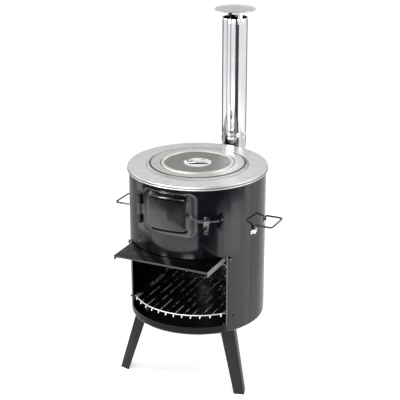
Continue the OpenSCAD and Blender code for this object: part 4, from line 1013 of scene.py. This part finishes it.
def studio_card(name, turns, distance, low, high, tone):
    """Curved studio card round the stove that shows only in reflections."""
    steps = 16
    corners, faces = [], []
    for k in range(steps + 1):
        x_share, y_share = outward(turns[0] + (turns[1] - turns[0]) * k / steps)
        corners += [(x_share * distance, DRUM_Y + y_share * distance, z) for z in (low, high)]
    for k in range(steps):
        faces.append((2 * k, 2 * k + 2, 2 * k + 3, 2 * k + 1))
    card, tree = studio_surface(name, name, corners, faces)
    shown(tree, wired(tree, "ShaderNodeEmission", {"Color": (*tone, 1)}))
    card.visible_camera = False
    card.visible_diffuse = False
    card.visible_shadow = False


def ceiling_card(name, reach, height):
    """Dark card over the front half of the stove, seen only in reflections."""
    inner = 0.25
    studio_card(name, (-110, 110), inner, height, height + 0.01, (0.01, 0.01, 0.012))
    card, middle = bpy.data.objects[name], Vector((0, DRUM_Y, height))
    for i, vertex in enumerate(card.data.vertices):
        if i % 2:
            vertex.co = Vector((vertex.co.x, vertex.co.y - DRUM_Y, 0)) * (reach / inner) + middle


def aim_camera():
    yaw, pitch = math.radians(24.84), math.radians(20.41)
    distance, height, aside = 2.855, 1.5485, 0.0063
    right = Vector((math.cos(yaw), math.sin(yaw), 0))
    forward = Vector((-math.sin(yaw) * math.cos(pitch), math.cos(yaw) * math.cos(pitch), -math.sin(pitch)))
    data = bpy.data.cameras.new("view")
    data.lens = 103.5
    data.sensor_width = 36
    camera = bpy.data.objects.new("view", data)
    bpy.context.scene.collection.objects.link(camera)
    camera.location = (Vector((0, DRUM_Y, height)) + Vector((math.sin(yaw), -math.cos(yaw), 0)) * distance
                       + right * aside)
    camera.rotation_mode = "QUATERNION"
    camera.rotation_quaternion = forward.to_track_quat("-Z", "Y")
    bpy.context.scene.camera = camera


make_floor()
make_world()
# Turn and rise in degrees, distance, width and height in metres, and power
for lamp in (
    ("lamp_right", 100, 30, 2.2, 1.3, 1.9, 22),
    ("lamp_left", -75, 30, 2.4, 0.9, 1.7, 12),
    ("lamp_front", 12, 14, 2.6, 0.8, 0.5, 36),
    ("lamp_top", 20, 70, 2.4, 1.8, 1.8, 20),
):
    soft_box(*lamp)
# Turns, distance, lower and upper edge in metres, and colour
for card in (
    ("card_front_high", (25, 56), 1.1, 0.0, 0.3, (0.012, 0.013, 0.02)),
    ("card_front_step", (56, 78), 1.1, 0.155, 0.3, (0.012, 0.013, 0.02)),
    ("card_pipe_dark", (34, 71), 1.1, 0.3, 1.4, (0.07, 0.066, 0.085)),
    ("card_pipe_left", (-66, -55), 1.1, 0.3, 1.0, (0.36, 0.36, 0.38)),
    ("card_pipe_middle", (-24, -12), 1.1, 0.3, 1.0, (0.36, 0.36, 0.39)),
    ("card_pipe_edge", (160, 246), 1.4, 0.2, 0.8, (0.16, 0.16, 0.17)),
    ("card_front_low", (2, 25), 1.1, 0.10, 0.30, (0.01, 0.01, 0.012)),
    ("card_left_low", (-72, 2), 1.1, 0.165, 0.30, (0.01, 0.01, 0.012)),
    ("card_front_mid", (-20, 2), 1.1, 0.12, 0.165, (0.2, 0.2, 0.205)),
    ("card_left_black", (-96, -52), 1.1, 0.0, 0.045, (0.003, 0.003, 0.003)),
    ("card_left_glow", (-84, -34), 1.12, 0.0, 0.165, (1.9, 1.87, 1.95)),
    ("card_side_low", (78, 104), 1.1, 0.185, 0.26, (0.2, 0.2, 0.21)),
    ("card_side_glow", (66, 95), 1.12, 0.0, 0.185, (2.4, 2.36, 2.46)),
    ("card_strip_light", (-35, -24), 1.5, 0.72, 1.75, (30, 30, 31)),
    ("card_back_edge", (106, 120), 0.45, 0.0, 0.52, (1.08, 1.08, 1.1)),
    ("card_back_grey", (120, 175), 0.45, 0.0, 0.52, (0.8, 0.8, 0.82)),
    ("card_left_grey", (-135, -76), 0.45, 0.0, 0.52, (0.5, 0.5, 0.515)),
    ("card_strip_dark", (-85, 61), 0.32, 0.06, 0.18, (0.56, 0.56, 0.57)),
):
    studio_card(*card)
ceiling_card("card_ceiling", 1.7, 2.0)
aim_camera()
bpy.context.scene.view_settings.view_transform = "Standard"
